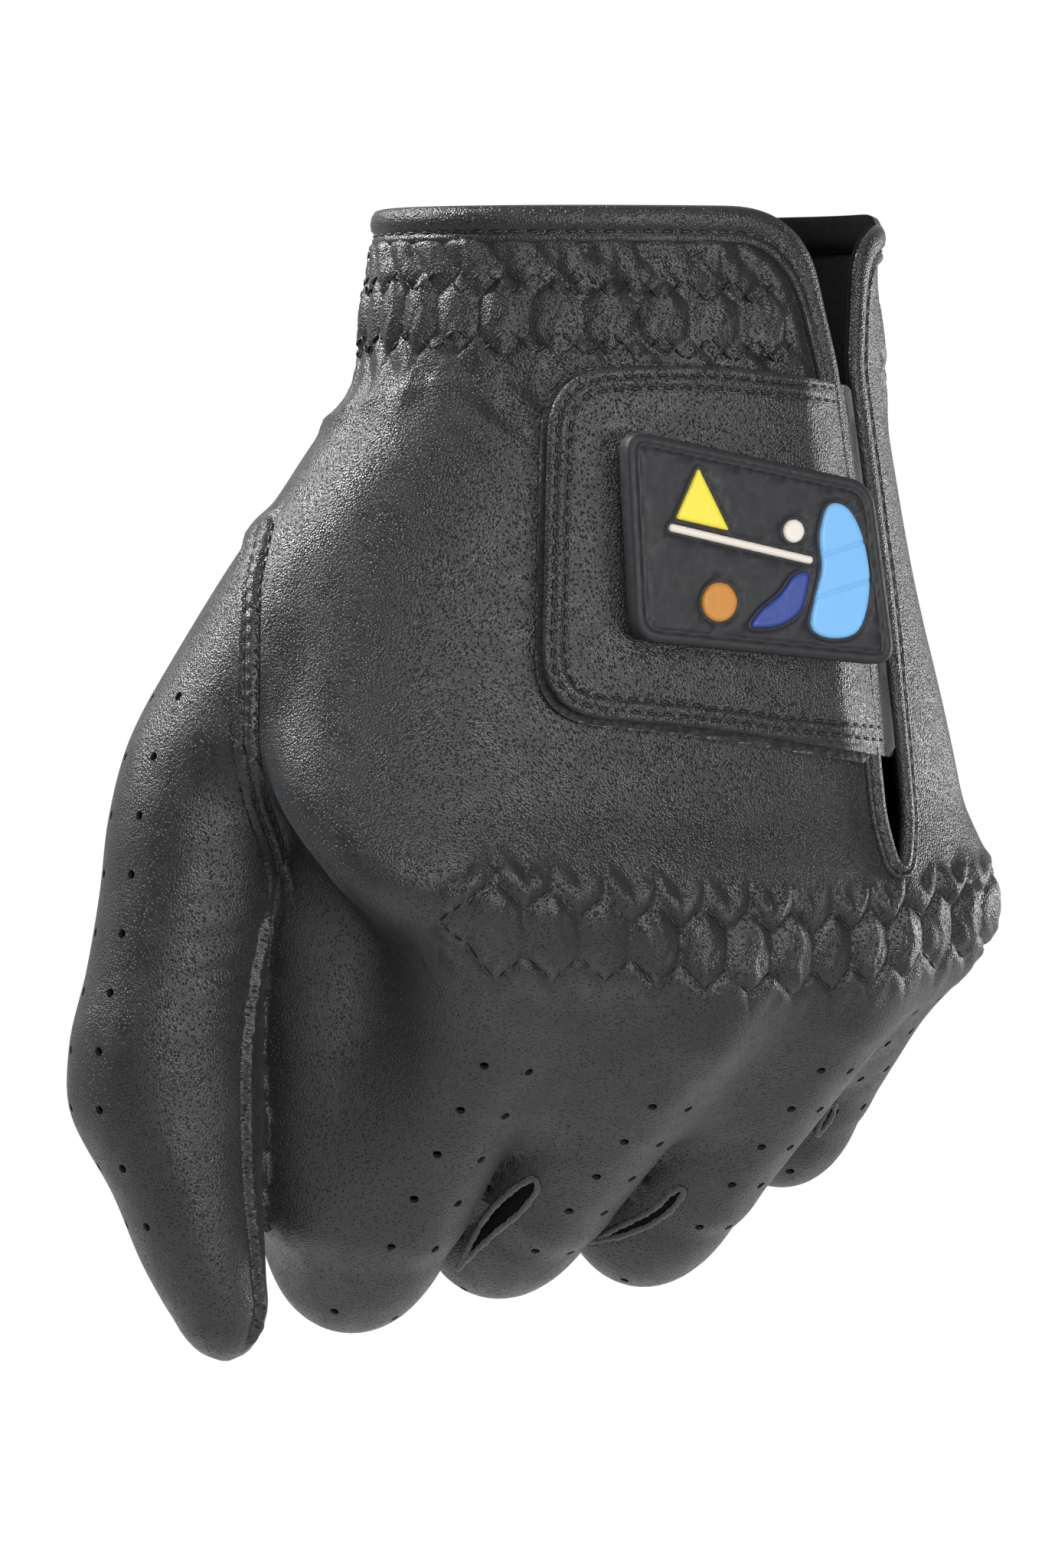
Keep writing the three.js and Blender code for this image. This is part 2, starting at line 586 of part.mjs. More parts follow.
function thumbPieces() {
  add("thumb_base", sheet((u, v, side) => {
    const z = mix(-39, -76, v);
    const share = (SEAM_X - along(THUMB, z, 1)) / along(THUMB, z, 3);
    const edge = Math.acos(Math.max(share, -0.9)) * 180 / Math.PI;
    return thumb(mix(edge, 360 - edge, u), z, side * LEATHER);
  }, 14, 6), "leather");
  const tube = (name, from, to, nv) => add(name, sleeve((u, v, side) => (
    thumb(u * 360, mix(from, to, v), side * LEATHER)), 18, nv), "leather");
  tube("thumb_elbow", -76 - GAP, -88, 3);
  tube("thumb_sleeve", -88 - GAP, -106, 3);
  tube("thumb_tip_elbow", -106 - GAP, -121, 3);
  add("thumb_tip", sleeve((u, v, side) => (
    thumb(u * 360, mix(-121 - GAP, side === 0 ? -151.2 : -149.4, v), side * LEATHER)), 18, 7, true), "leather");
}

cuffAndPanels();
slitBinding();
tab();
badge();
knuckles();
fingers.forEach(fingerPieces);
fourchette(fingers[0], fingers[1]);
fourchette(fingers[1], fingers[2]);
fourchette(fingers[2], fingers[3]);
thumbPieces();

export default group;
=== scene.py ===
"""Looks of a left-hand golf glove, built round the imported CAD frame. Lengths inside are millimetres."""
import math

import bpy
import numpy as np
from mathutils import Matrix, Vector


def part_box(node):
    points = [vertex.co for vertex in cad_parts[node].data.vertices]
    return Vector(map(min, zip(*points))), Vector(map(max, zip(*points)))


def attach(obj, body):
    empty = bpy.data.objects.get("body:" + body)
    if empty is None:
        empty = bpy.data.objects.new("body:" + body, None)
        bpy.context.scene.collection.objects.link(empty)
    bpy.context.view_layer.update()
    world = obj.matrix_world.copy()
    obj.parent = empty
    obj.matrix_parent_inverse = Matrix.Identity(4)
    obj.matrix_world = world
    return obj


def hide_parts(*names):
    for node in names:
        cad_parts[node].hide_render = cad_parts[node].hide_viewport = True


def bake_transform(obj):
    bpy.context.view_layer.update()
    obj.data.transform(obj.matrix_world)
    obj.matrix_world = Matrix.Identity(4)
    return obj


MM = 0.001
GRID = 1.3            # cell of the first skin
SKIN = 0.8                               # thickness of the leather
HOLE = 0.62                              # radius of a vent hole
THREAD = 0.2                             # radius of the sewing thread
CROTCH = 35.0                            # where the fingers part, from the knuckle centre
FINGER_CUT = 33.0                        # where a finger's own skin begins, from the knuckle centre
HAND_END = -98                           # height where the hand's own form ends
BULGE = 2.15                             # how boxy the hand's sections are, 2 for an ellipse
THUMB_ROOT = -31                         # height where the thumb's form begins
THUMB_SPLIT = -97                        # height where the thumb's skin is cut in two
REGION = ((-78, -38, -155), (56, 70, 5))    # corners of a box that holds all of the skin

# Hand sections: height, centre x, y, reach to thumb side, little-finger side, back, palm, turn.
HAND = np.array([
    [6, 1.7, 0, 33.4, 32.6, 23, 23.5, 8],
    [0, 1.7, 0, 33.4, 32.6, 23, 23.5, 8],
    [-12, 1, 0, 34.2, 33.4, 23.5, 23, 9],
    [-22, 0.5, 0, 35, 34.4, 24.5, 23, 10],
    [-35, 0, 0.5, 41, 37, 25, 23.5, 12],
    [-50, 0, 1, 46.6, 40.2, 25, 24, 15],
    [-65, 1, 0, 48, 43.6, 24, 21, 19],
    [-78, 3, -2, 47.5, 45.8, 21.5, 17, 24],
    [-88, 6, -4, 44, 46, 19.5, 14, 28],
    [-98, 8, -4, 38, 41, 16, 12, 30],
])
# Thumb sections: height, centre x, y, half width, half depth.
THUMB = np.array([
    [-30, -24, 2, 13, 16],
    [-36, -28, 1, 13.6, 16.5],
    [-45, -35.6, 0, 13.6, 16],
    [-60, -46.2, -2, 13.2, 15],
    [-70, -51.6, -3, 13, 14.4],
    [-80, -54.4, -4, 12.8, 13.8],
    [-90, -56, -4, 12.4, 13.2],
    [-100, -58, -4, 12.1, 12.8],
    [-110, -59.6, -4, 12.8, 13],
    [-118, -59.6, -3, 12.9, 12.6],
    [-130, -56.8, -2, 9.8, 11.4],
    [-140, -54.5, -1, 7.9, 9.6],
    [-146, -52.8, 0, 6.2, 7.8],
    [-149.4, -52.4, 0.2, 4.3, 5.6],
    [-151, -52.2, 0.4, 2.6, 3.4],
    [-151.8, -52.1, 0.4, 0.6, 0.8],
])
# Fingers: knuckle centre, middle joint, side direction, middle and end lengths, bends, radii.
FINGERS = {
    "index": ((-15.6, -11.3, -99.5), (-35.7, 16.7, -139.6), (0.93, 0.36, 0), 26, 21,
              (97, 52), (12.9, 11.9, 10.4, 9)),
    "middle": ((8.3, -8.6, -102), (-16.2, 26.9, -136), (0.9, 0.44, 0), 30, 22,
               (98, 52), (12.5, 11.4, 10, 9)),
    "ring": ((27, 3.6, -101), (3.6, 32.2, -134.6), (0.86, 0.5, 0.08), 28, 21,
             (96, 50), (11.9, 11, 9.6, 8.7)),
    "little": ((36.4, 18, -95), (22.6, 42.6, -121.5), (0.82, 0.56, 0.12), 21, 19,
               (90, 48), (10.6, 9.6, 8.7, 7.9)),
}
NARROW = 1.09                            # how much deeper than wide a finger is


def unit(v):
    v = np.asarray(v, float)
    return v / np.linalg.norm(v)


def unit_rows(v):
    return v / np.linalg.norm(v, axis=1)[:, None]


def ease(x, low, high):
    """0 below low, 1 above high, smooth between."""
    t = np.clip((x - low) / (high - low), 0, 1)
    return t * t * (3 - 2 * t)


def hump(x, at, width, power=2):
    """1 at one value, falling away on both sides of it."""
    return np.exp(-((x - at) / width) ** power)


def between(x, low, high):
    return (x > low) & (x < high)


def smooth_min(a, b, k):
    """The smaller of two distances, with the corner between them rounded by k."""
    h = np.clip(0.5 + 0.5 * (b - a) / k, 0, 1)
    return b + (a - b) * h - k * h * (1 - h)


def fine_table(table):
    """The table resampled every 0.5 mm along smooth curves, lowest height first."""
    rows = table[::-1]
    z = rows[:, 0]
    want = np.arange(z[0], z[-1] + 0.25, 0.5)
    i = np.clip(np.searchsorted(z, want) - 1, 0, len(z) - 2)
    t = ((want - z[i]) / (z[i + 1] - z[i]))[:, None]
    slope = np.gradient(rows, z, axis=0)
    step = (z[i + 1] - z[i])[:, None]
    h00, h10 = 2 * t**3 - 3 * t**2 + 1, t**3 - 2 * t**2 + t
    h01, h11 = 3 * t**2 - 2 * t**3, t**3 - t**2
    out = h00 * rows[i] + h10 * step * slope[i] + h01 * rows[i + 1] + h11 * step * slope[i + 1]
    out[:, 0] = want
    return out


HAND_FINE = fine_table(HAND)
THUMB_FINE = fine_table(THUMB)


def columns(table, z):
    return [np.interp(z, table[:, 0], table[:, c]) for c in range(1, table.shape[1])]


class Finger:
    """Centre line, frame and radii of one finger."""

    def __init__(self, name, mcp, pip, side, middle, tip, bends, radii):
        self.name = name
        self.mcp = np.array(mcp, float)
        self.pip = np.array(pip, float)
        self.f = unit(self.pip - self.mcp)
        side = np.array(side, float)
        self.side = unit(side - (side @ self.f) * self.f)
        self.up = np.cross(self.f, self.side)
        self.bends = np.radians(bends)
        self.radii = radii
        self.arc = [radii[1] + 0.6, radii[2] + 0.6]
        cut = [self.arc[i] * math.tan(self.bends[i] / 2) for i in (0, 1)]
        runs = [np.linalg.norm(self.pip - self.mcp) - cut[0], self.arc[0] * self.bends[0],
                middle - cut[0] - cut[1], self.arc[1] * self.bends[1], tip - cut[1]]
        self.marks = np.concatenate([[0], np.cumsum(runs)])
        self.end = self.marks[5]
        self.lay_line()

    def heading(self, a):
        return self.f * math.cos(a) - self.up * math.sin(a)

    def dorsal(self, a):
        return self.up * math.cos(a) + self.f * math.sin(a)

    def at(self, s):
        """Centre, forward and dorsal directions at a distance along the finger."""
        p = self.mcp + self.f * min(s, self.marks[1])
        angle = 0.0
        for bend in (0, 1):
            start, stop, last = self.marks[1 + 2 * bend], self.marks[2 + 2 * bend], self.marks[3 + 2 * bend]
            if s > start:
                centre = p - self.dorsal(angle) * self.arc[bend]
                angle += self.bends[bend] * min((s - start) / (stop - start), 1)
                p = centre + self.dorsal(angle) * self.arc[bend]
            if s > stop:
                p = p + self.heading(angle) * (min(s, last) - stop)
        return p, self.heading(angle), self.dorsal(angle)

    def radius(self, s):
        stops = [0, (self.marks[1] + self.marks[2]) / 2, (self.marks[3] + self.marks[4]) / 2, self.end]
        return float(np.interp(s, stops, self.radii))

    def lay_line(self):
        stations = [0, self.marks[1]]
        stations += list(np.linspace(self.marks[1], self.marks[2], 5)[1:])
        stations += list(np.linspace(self.marks[3], self.marks[4], 4))
        stations += [self.end]
        self.stations = [(self.at(s)[0], self.radius(s), s) for s in stations]

    def squeeze(self, p):
        """Points pushed out sideways, so that a round distance gives a narrow finger."""
        aside = (p - self.mcp) @ self.side
        return p + np.outer(aside * (NARROW - 1), self.side)

    def root_distance(self, p):
        q = self.squeeze(p)
        (a, ra, _), (b, rb, _) = self.stations[0], self.stations[1]
        return rod(q, a, b, ra, rb)

    def curl_distance(self, p):
        q = self.squeeze(p)
        d = None
        for (a, ra, _), (b, rb, _) in zip(self.stations[1:-1], self.stations[2:]):
            one = rod(q, a, b, ra, rb)
            d = one if d is None else smooth_min(d, one, 1.0)
        for low, high, lift, k in ((1, 2, 4.6, 5.0), (3, 4, 1.6, 3.0)):
            s = (self.marks[low] + self.marks[high]) / 2
            centre, _, up = self.at(s)
            r = self.radius(s) - 0.6
            d = smooth_min(d, np.linalg.norm(q - (centre + up * lift), axis=1) - r, k)
        return d


def rod(p, a, b, ra, rb):
    ab = b - a
    t = np.clip(((p - a) @ ab) / (ab @ ab), 0, 1)
    return np.linalg.norm(p - a - np.outer(t, ab), axis=1) - (ra + (rb - ra) * t)


fingers = [Finger(name, *row) for name, row in FINGERS.items()]


def hand_frame(p):
    """Across and outward places in the hand's section at each point, and the section's reaches there."""
    cx, cy, left, right, back, palm, turn = columns(HAND_FINE, p[:, 2])
    dx, dy = p[:, 0] - cx, p[:, 1] - cy
    lean = np.radians(2 + (turn - 2) * ease(dx, -30, 30))
    full = np.radians(turn)
    u = dx * np.cos(lean) + dy * np.sin(lean)
    v = dx * np.sin(full) - dy * np.cos(full)
    return u, v, np.where(u > 0, right, left), np.where(v > 0, back, palm)


def hand_distance(p):
    u, v, wide, deep = hand_frame(p)
    q = (np.abs(u / wide) ** BULGE + np.abs(v / deep) ** BULGE) ** (1 / BULGE)
    d = (q - 1) * np.minimum(wide, deep) * 1.05
    return -smooth_min(-d, p[:, 2] - HAND_END, 10)


def thumb_distance(p):
    z = p[:, 2]
    cx, cy, wide, deep = columns(THUMB_FINE, z)
    q = np.sqrt(((p[:, 0] - cx) / wide) ** 2 + ((p[:, 1] - cy) / deep) ** 2)
    d = (q - 1) * np.minimum(wide, deep)
    return np.maximum(np.maximum(d, THUMB[-1, 0] - z), z - THUMB_ROOT)


def web_distance(p):
    """The leather between the index finger and the thumb."""
    return rod(p, np.array([-37, -2.5, -88.0]), np.array([-39.3, 6.5, -127.0]), 11, 10.6)


def skin_distance(p):
    hand = hand_distance(p)
    roots = fingers[0].root_distance(p)
    for before, g in zip(fingers, fingers[1:]):
        ahead = ((p - before.mcp) @ before.f + (p - g.mcp) @ g.f) / 2
        roots = smooth_min(roots, g.root_distance(p), 1 + 12 * (1 - ease(ahead, 16, CROTCH)))
    roots = smooth_min(roots, web_distance(p), 9.0)
    body = smooth_min(hand, roots, 12.0)
    k = 1.0 + 8.0 * ease(p[:, 2], -92, -68)
    body = smooth_min(body, thumb_distance(p), k)
    for g in fingers:
        curl = g.curl_distance(p)
        if g is fingers[0]:
            curl = smooth_min(curl, web_distance(p), 7.0)
        body = smooth_min(body, curl, 0.8)
    return body


def gradient(p, field=skin_distance, h=0.25):
    out = np.empty_like(p)
    for axis in range(3):
        step = np.zeros(3)
        step[axis] = h
        out[:, axis] = (field(p + step) - field(p - step)) / (2 * h)
    return out


def normals(p, field=skin_distance):
    return unit_rows(gradient(p, field))


def to_skin(p, rounds=3):
    """The points moved onto the skin."""
    p = p.copy()
    for _ in range(rounds):
        g = gradient(p)
        size = np.maximum((g * g).sum(1), 0.05)
        p -= g * np.clip(skin_distance(p) / size, -1.2, 1.2)[:, None]
    return p


def from_the_back(x, z, lift=0.0, field=skin_distance):
    """The points that lie at x and z where the back of the glove, raised by lift, is met first."""
    x, z = np.asarray(x, float), np.asarray(z, float)
    p = np.stack([x, np.full(len(x), -46.0), z], 1)
    for _ in range(60):
        p[:, 1] += 0.75 * (field(p) - lift)
    return p


# ---- mesh tools ----

def grid_faces(n, m):
    """The triangles of a sheet of n by m points, row after row."""
    i, j = np.meshgrid(np.arange(n - 1), np.arange(m - 1), indexing="ij")
    a, b, c, d = ((i + di) * m + j + dj for di, dj in ((0, 0), (1, 0), (1, 1), (0, 1)))
    return np.concatenate([np.stack([a, b, c], -1).reshape(-1, 3), np.stack([a, c, d], -1).reshape(-1, 3)])


def first_skin(low, high, cell):
    """A closed triangle skin of skin_distance = 0, one vertex per crossed cell."""
    axes = [np.arange(low[i], high[i] + cell, cell) for i in range(3)]
    grid = np.stack(np.meshgrid(*axes, indexing="ij"), -1)
    value = skin_distance(grid.reshape(-1, 3)).reshape(grid.shape[:3])
    shape = tuple(n - 1 for n in value.shape)
    total = np.zeros(shape + (3,))
    count = np.zeros(shape)
    crossings = []
    for axis in range(3):
        a = np.moveaxis(value, axis, 0)[:-1]
        b = np.moveaxis(value, axis, 0)[1:]
        hit = np.moveaxis((a < 0) != (b < 0), 0, axis)
        where = np.argwhere(hit)
        step = np.zeros(3, int)
        step[axis] = 1
        va = value[tuple(where.T)]
        vb = value[tuple((where + step).T)]
        points = grid[tuple(where.T)] + step * (cell * va / (va - vb))[:, None]
        others = [(axis + 1) % 3, (axis + 2) % 3]
        corners = []
        for da, db in ((1, 1), (0, 1), (0, 0), (1, 0)):
            at = where.copy()
            at[:, others[0]] -= da
            at[:, others[1]] -= db
            corners.append(at)
            ok = ((at >= 0) & (at < np.array(shape))).all(1)
            np.add.at(total, tuple(at[ok].T), points[ok])
            np.add.at(count, tuple(at[ok].T), 1)
        crossings.append((corners, va < 0))
    index = -np.ones(shape, int)
    active = count > 0
    index[active] = np.arange(active.sum())
    verts = total[active] / count[active][:, None]
    quads = []
    for corners, outward in crossings:
        inside = np.all([((at >= 0) & (at < np.array(shape))).all(1) for at in corners], axis=0)
        four = np.stack([index[tuple(at[inside].T)] for at in corners], 1)
        flip = ~outward[inside]
        four[flip] = four[flip][:, ::-1]
        quads.append(four)
    quads = np.concatenate(quads)
    return verts, np.concatenate([quads[:, [0, 1, 2]], quads[:, [0, 2, 3]]])


def relax(verts, tris, rounds, share=0.5):
    for _ in range(rounds):
        total = np.zeros_like(verts)
        count = np.zeros(len(verts))
        for a, b in ((0, 1), (1, 2), (2, 0)):
            np.add.at(total, tris[:, a], verts[tris[:, b]])
            np.add.at(total, tris[:, b], verts[tris[:, a]])
            np.add.at(count, tris[:, a], 1)
            np.add.at(count, tris[:, b], 1)
        verts = verts + share * (total / count[:, None] - verts)
    return verts


def turned(tris, marks, first):
    """The triangles turned so that the corner picked by first comes first, with their marks."""
    order = (np.arange(3)[None] + first[:, None]) % 3
    rows = np.arange(len(tris))[:, None]
    return tris[rows, order], marks[rows, order]


def refine(verts, tris, longest):
    """Splits every edge longer than longest(midpoints), leaving no gaps."""
    edges = np.sort(np.concatenate([tris[:, [0, 1]], tris[:, [1, 2]], tris[:, [2, 0]]]), axis=1)
    keys, inverse = np.unique(edges[:, 0] * len(verts) + edges[:, 1], return_inverse=True)
    unique = np.stack([keys // len(verts), keys % len(verts)], 1)
    middle = verts[unique].mean(1)
    length = np.linalg.norm(verts[unique[:, 0]] - verts[unique[:, 1]], axis=1)
    marked = length > longest(middle)
    number = np.where(marked, len(verts) + np.cumsum(marked) - 1, -1)
    split = number[inverse.reshape(-1)].reshape(3, -1).T
    verts = np.concatenate([verts, middle[marked]])
    count = (split >= 0).sum(1)
    out = [tris[count == 0]]
    t, m = turned(tris[count == 1], split[count == 1], np.argmax(split[count == 1] >= 0, axis=1))
    out += [np.stack([t[:, 0], m[:, 0], t[:, 2]], 1), np.stack([m[:, 0], t[:, 1], t[:, 2]], 1)]
    free = np.argmax(split[count == 2] < 0, axis=1)
    t, m = turned(tris[count == 2], split[count == 2], (free + 1) % 3)
    out += [np.stack([m[:, 0], t[:, 1], m[:, 1]], 1), np.stack([t[:, 0], m[:, 0], m[:, 1]], 1),
            np.stack([t[:, 0], m[:, 1], t[:, 2]], 1)]
    t, m = tris[count == 3], split[count == 3]
    out += [m, np.stack([t[:, 0], m[:, 0], m[:, 2]], 1), np.stack([m[:, 0], t[:, 1], m[:, 1]], 1),
            np.stack([m[:, 2], m[:, 1], t[:, 2]], 1)]
    return verts, np.concatenate(out)


def keep_where(verts, tris, value):
    """The part of the mesh where value is above 0, cut cleanly along value = 0."""
    value = np.where(np.abs(value) < 1e-6, 1e-6, value)
    above = value > 0
    count = above[tris].sum(1)
    out = [tris[count == 3]]
    added = []
    base = len(verts)
    for wanted in (1, 2):
        t = tris[count == wanted]
        if not len(t):
            continue
        odd = above[t] if wanted == 1 else ~above[t]
        t, _ = turned(t, t, np.argmax(odd, axis=1))
        ends = []
        for other in (1, 2):
            pair = np.sort(t[:, [0, other]], axis=1)
            share = value[pair[:, 0]] / (value[pair[:, 0]] - value[pair[:, 1]])
            point = verts[pair[:, 0]] + (verts[pair[:, 1]] - verts[pair[:, 0]]) * share[:, None]
            ends.append(base + np.arange(len(pair)))
            added.append((pair, point))
            base += len(pair)
        if wanted == 1:
            out.append(np.stack([t[:, 0], ends[0], ends[1]], 1))
        else:
            out += [np.stack([ends[0], t[:, 1], t[:, 2]], 1), np.stack([ends[0], t[:, 2], ends[1]], 1)]
    tris = np.concatenate(out)
    if added:
        pairs = np.concatenate([pair for pair, _ in added])
        points = np.concatenate([point for _, point in added])
        keys = pairs[:, 0] * len(verts) + pairs[:, 1]
        _, first, inverse = np.unique(keys, return_index=True, return_inverse=True)
        remap = np.concatenate([np.arange(len(verts)), len(verts) + inverse.reshape(-1)])
        verts = np.concatenate([verts, points[first]])
        tris = remap[tris]
    used, inverse = np.unique(tris, return_inverse=True)
    return verts[used], inverse.reshape(-1, 3)


def open_edges(count, tris):
    """The edges that only one triangle has, in that triangle's direction."""
    edges = np.concatenate([tris[:, [0, 1]], tris[:, [1, 2]], tris[:, [2, 0]]])
    keys = edges.min(1) * count + edges.max(1)
    _, index, uses = np.unique(keys, return_index=True, return_counts=True)
    return edges[index[uses == 1]]


def thicken(outer, inner, tris):
    """A closed solid from an outer and an inner copy of one mesh."""
    n = len(outer)
    rim = open_edges(n, tris)
    a, b = rim[:, 0], rim[:, 1]
    walls = [np.stack([b, a, a + n], 1), np.stack([b, a + n, b + n], 1)]
    return np.concatenate([outer, inner]), np.concatenate([tris, tris[:, ::-1] + n] + walls)


def make(name, verts, faces, material, smooth=True, rest=None, sharp=None):
    """A Blender mesh object from millimetre points and faces with one number of corners."""
    mesh = bpy.data.meshes.new(name)
    mesh.vertices.add(len(verts))
    mesh.vertices.foreach_set("co", (np.asarray(verts, float) * MM).ravel())
    mesh.loops.add(faces.size)
    mesh.polygons.add(len(faces))
    mesh.loops.foreach_set("vertex_index", faces.ravel().astype(np.int32))
    mesh.polygons.foreach_set("loop_start", np.arange(len(faces), dtype=np.int32) * faces.shape[1])
    mesh.polygons.foreach_set("loop_total", np.full(len(faces), faces.shape[1], dtype=np.int32))
    mesh.update(calc_edges=True)
    mesh.validate()
    mesh.polygons.foreach_set("use_smooth", np.full(len(mesh.polygons), smooth))
    at = mesh.attributes.new("rest_at", "FLOAT_VECTOR", "POINT")
    source = np.asarray(verts if rest is None else rest, float)
    at.data.foreach_set("vector", (source * MM).astype(np.float32).ravel())
    if sharp is not None:
        mesh.set_sharp_from_angle(angle=math.radians(sharp))
    mesh.materials.append(material)
    obj = bpy.data.objects.new(name, mesh)
    bpy.context.scene.collection.objects.link(obj)
    return obj


def place(obj, body, slot, *nodes):
    """Gives a piece the body it rides on and hides the CAD nodes it stands for; the slot is not used."""
    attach(obj, body)
    if nodes:
        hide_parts(*nodes)


# ---- materials ----

class Nodes:
    """Short hand for building one node material on the skin's rest position."""

    def __init__(self, name):
        self.material = bpy.data.materials.new(name)
        self.material.use_nodes = True
        self.tree = self.material.node_tree
        self.shader = self.tree.nodes["Principled BSDF"]
        self.place = self.new("ShaderNodeAttribute")
        self.place.attribute_name = "rest_at"

    def new(self, kind, **settings):
        node = self.tree.nodes.new(kind)
        for key, value in settings.items():
            setattr(node, key, value)
        return node

    def link(self, source, target):
        self.tree.links.new(source, target)

    def noise(self, scale, detail=2.0, stretch=None):
        node = self.new("ShaderNodeTexNoise")
        node.inputs["Scale"].default_value = scale
        node.inputs["Detail"].default_value = detail
        self.link(self.mapped(stretch), node.inputs["Vector"])
        return node.outputs["Fac"]

    def cells(self, scale, feature="F1", stretch=None, randomness=1.0):
        node = self.new("ShaderNodeTexVoronoi", feature=feature)
        node.inputs["Scale"].default_value = scale
        node.inputs["Randomness"].default_value = randomness
        self.link(self.mapped(stretch), node.inputs["Vector"])
        return node.outputs["Distance"]

    def mapped(self, stretch):
        if stretch is None:
            return self.place.outputs["Vector"]
        turn, scale = stretch
        node = self.new("ShaderNodeMapping")
        node.inputs["Rotation"].default_value = turn
        node.inputs["Scale"].default_value = scale
        self.link(self.place.outputs["Vector"], node.inputs["Vector"])
        return node.outputs["Vector"]

    def math(self, operation, a, b=0.0):
        node = self.new("ShaderNodeMath", operation=operation)
        for socket, value in zip(node.inputs, (a, b)):
            if isinstance(value, (int, float)):
                socket.default_value = value
            else:
                self.link(value, socket)
        return node.outputs[0]

    def band(self, value, low, high, out_low=0.0, out_high=1.0):
        node = self.new("ShaderNodeMapRange", interpolation_type="SMOOTHSTEP")
        sockets = ("From Min", "From Max", "To Min", "To Max")
        for socket, number in zip(sockets, (low, high, out_low, out_high)):
            node.inputs[socket].default_value = number
        self.link(value, node.inputs["Value"])
        return node.outputs["Result"]

    def blend(self, share, a, b):
        node = self.new("ShaderNodeMix", data_type="RGBA")
        self.link(share, node.inputs["Factor"])
        for socket, value in ((node.inputs[6], a), (node.inputs[7], b)):
            if isinstance(value, tuple):
                socket.default_value = (*value, 1)
            else:
                self.link(value, socket)
        return node.outputs[2]

    def bump(self, height, distance, strength=1.0, below=None):
        node = self.new("ShaderNodeBump")
        node.inputs["Strength"].default_value = strength
        node.inputs["Distance"].default_value = distance * MM
        self.link(height, node.inputs["Height"])
        if below is not None:
            self.link(below, node.inputs["Normal"])
        return node.outputs["Normal"]

    def set(self, **values):
        for key, value in values.items():
            socket = self.shader.inputs[key.replace("_", " ")]
            if isinstance(value, tuple):
                value = (*value, 1)
            socket.default_value = value


def leather(name, dark, light, roughness=(0.36, 0.5), pores=1.0):
    """Dyed sheepskin: fine pebbles with painted shade in the crevices between them and darker painted shade
    in the sunk pits, soft unevenness in tone and shine.
    """
    m = Nodes(name)
    pebbles = m.cells(3600)
    spots = m.cells(2150, stretch=((0, 0.25, 0), (1, 1, 0.75)))
    amount = m.band(m.noise(150, 2), 0.35, 0.65, 0.45, 1.0)
    pit = m.math("MULTIPLY", m.math("MULTIPLY", m.band(spots, 0.12, 0.34, 1.0, 0.0), amount), pores)
    base = m.blend(m.band(m.noise(110, 4), 0.3, 0.7), dark, light)
    # painted shade: the colour darkens towards the crevices at the pebbles' edges
    shade = m.math("MULTIPLY", m.band(pebbles, 0.35, 0.75), 0.5)
    crevice_shaded = m.blend(shade, base, tuple(c * 0.4 for c in dark))
    # painted shade: the sunk pits are darkened nearly to black
    colour = m.blend(m.math("MULTIPLY", pit, 0.9), crevice_shaded, tuple(c * 0.12 for c in dark))
    m.link(colour, m.shader.inputs["Base Color"])
    shine = m.band(m.noise(260, 3), 0.3, 0.7, *roughness)
    m.link(m.math("ADD", shine, m.math("MULTIPLY", pit, 0.4)), m.shader.inputs["Roughness"])
    slack = m.bump(m.noise(300, 4), 0.2, 0.5)
    pebbled = m.bump(m.math("MULTIPLY", pebbles, -1), 0.09, 0.9, slack)
    pitted = m.bump(m.math("MULTIPLY", pit, -1), 0.3, 1.0, pebbled)
    m.link(pitted, m.shader.inputs["Normal"])
    m.set(Specular_IOR_Level=0.36, Sheen_Weight=0.04, Sheen_Roughness=0.45, Sheen_Tint=(0.75, 0.8, 0.85))
    return m.material


def plain(name, colour, roughness, grain=0.0, scale=900, sheen=0.0, specular=0.4):
    """One colour with a fine unevenness in height and shine."""
    m = Nodes(name)
    rough = m.band(m.noise(scale * 0.5, 2), 0.3, 0.7, roughness - 0.06, roughness + 0.06)
    m.link(rough, m.shader.inputs["Roughness"])
    if grain:
        m.link(m.bump(m.noise(scale, 4), grain, 0.7), m.shader.inputs["Normal"])
    m.set(Base_Color=colour, Specular_IOR_Level=specular, Sheen_Weight=sheen, Sheen_Roughness=0.5)
    return m.material


def woven(name, colour, pitch, roughness=0.85, sheen=0.4):
    """A knitted or looped textile: rows of small raised loops, with painted shade darkening the gaps between
    them.
    """
    m = Nodes(name)
    loops = m.cells(1000 / pitch, randomness=0.7, stretch=((0, 0, 0), (1, 1, 1.3)))
    # painted shade: the colour darkens towards the gaps between the loops
    shade = m.band(loops, 0.15, 0.75, 1.0, 0.25)
    m.link(m.blend(shade, tuple(c * 0.2 for c in colour), colour), m.shader.inputs["Base Color"])
    m.link(m.bump(m.math("MULTIPLY", loops, -1), 0.35, 0.9), m.shader.inputs["Normal"])
    m.set(Roughness=roughness, Sheen_Weight=sheen, Sheen_Roughness=0.4, Specular_IOR_Level=0.2)
    return m.material


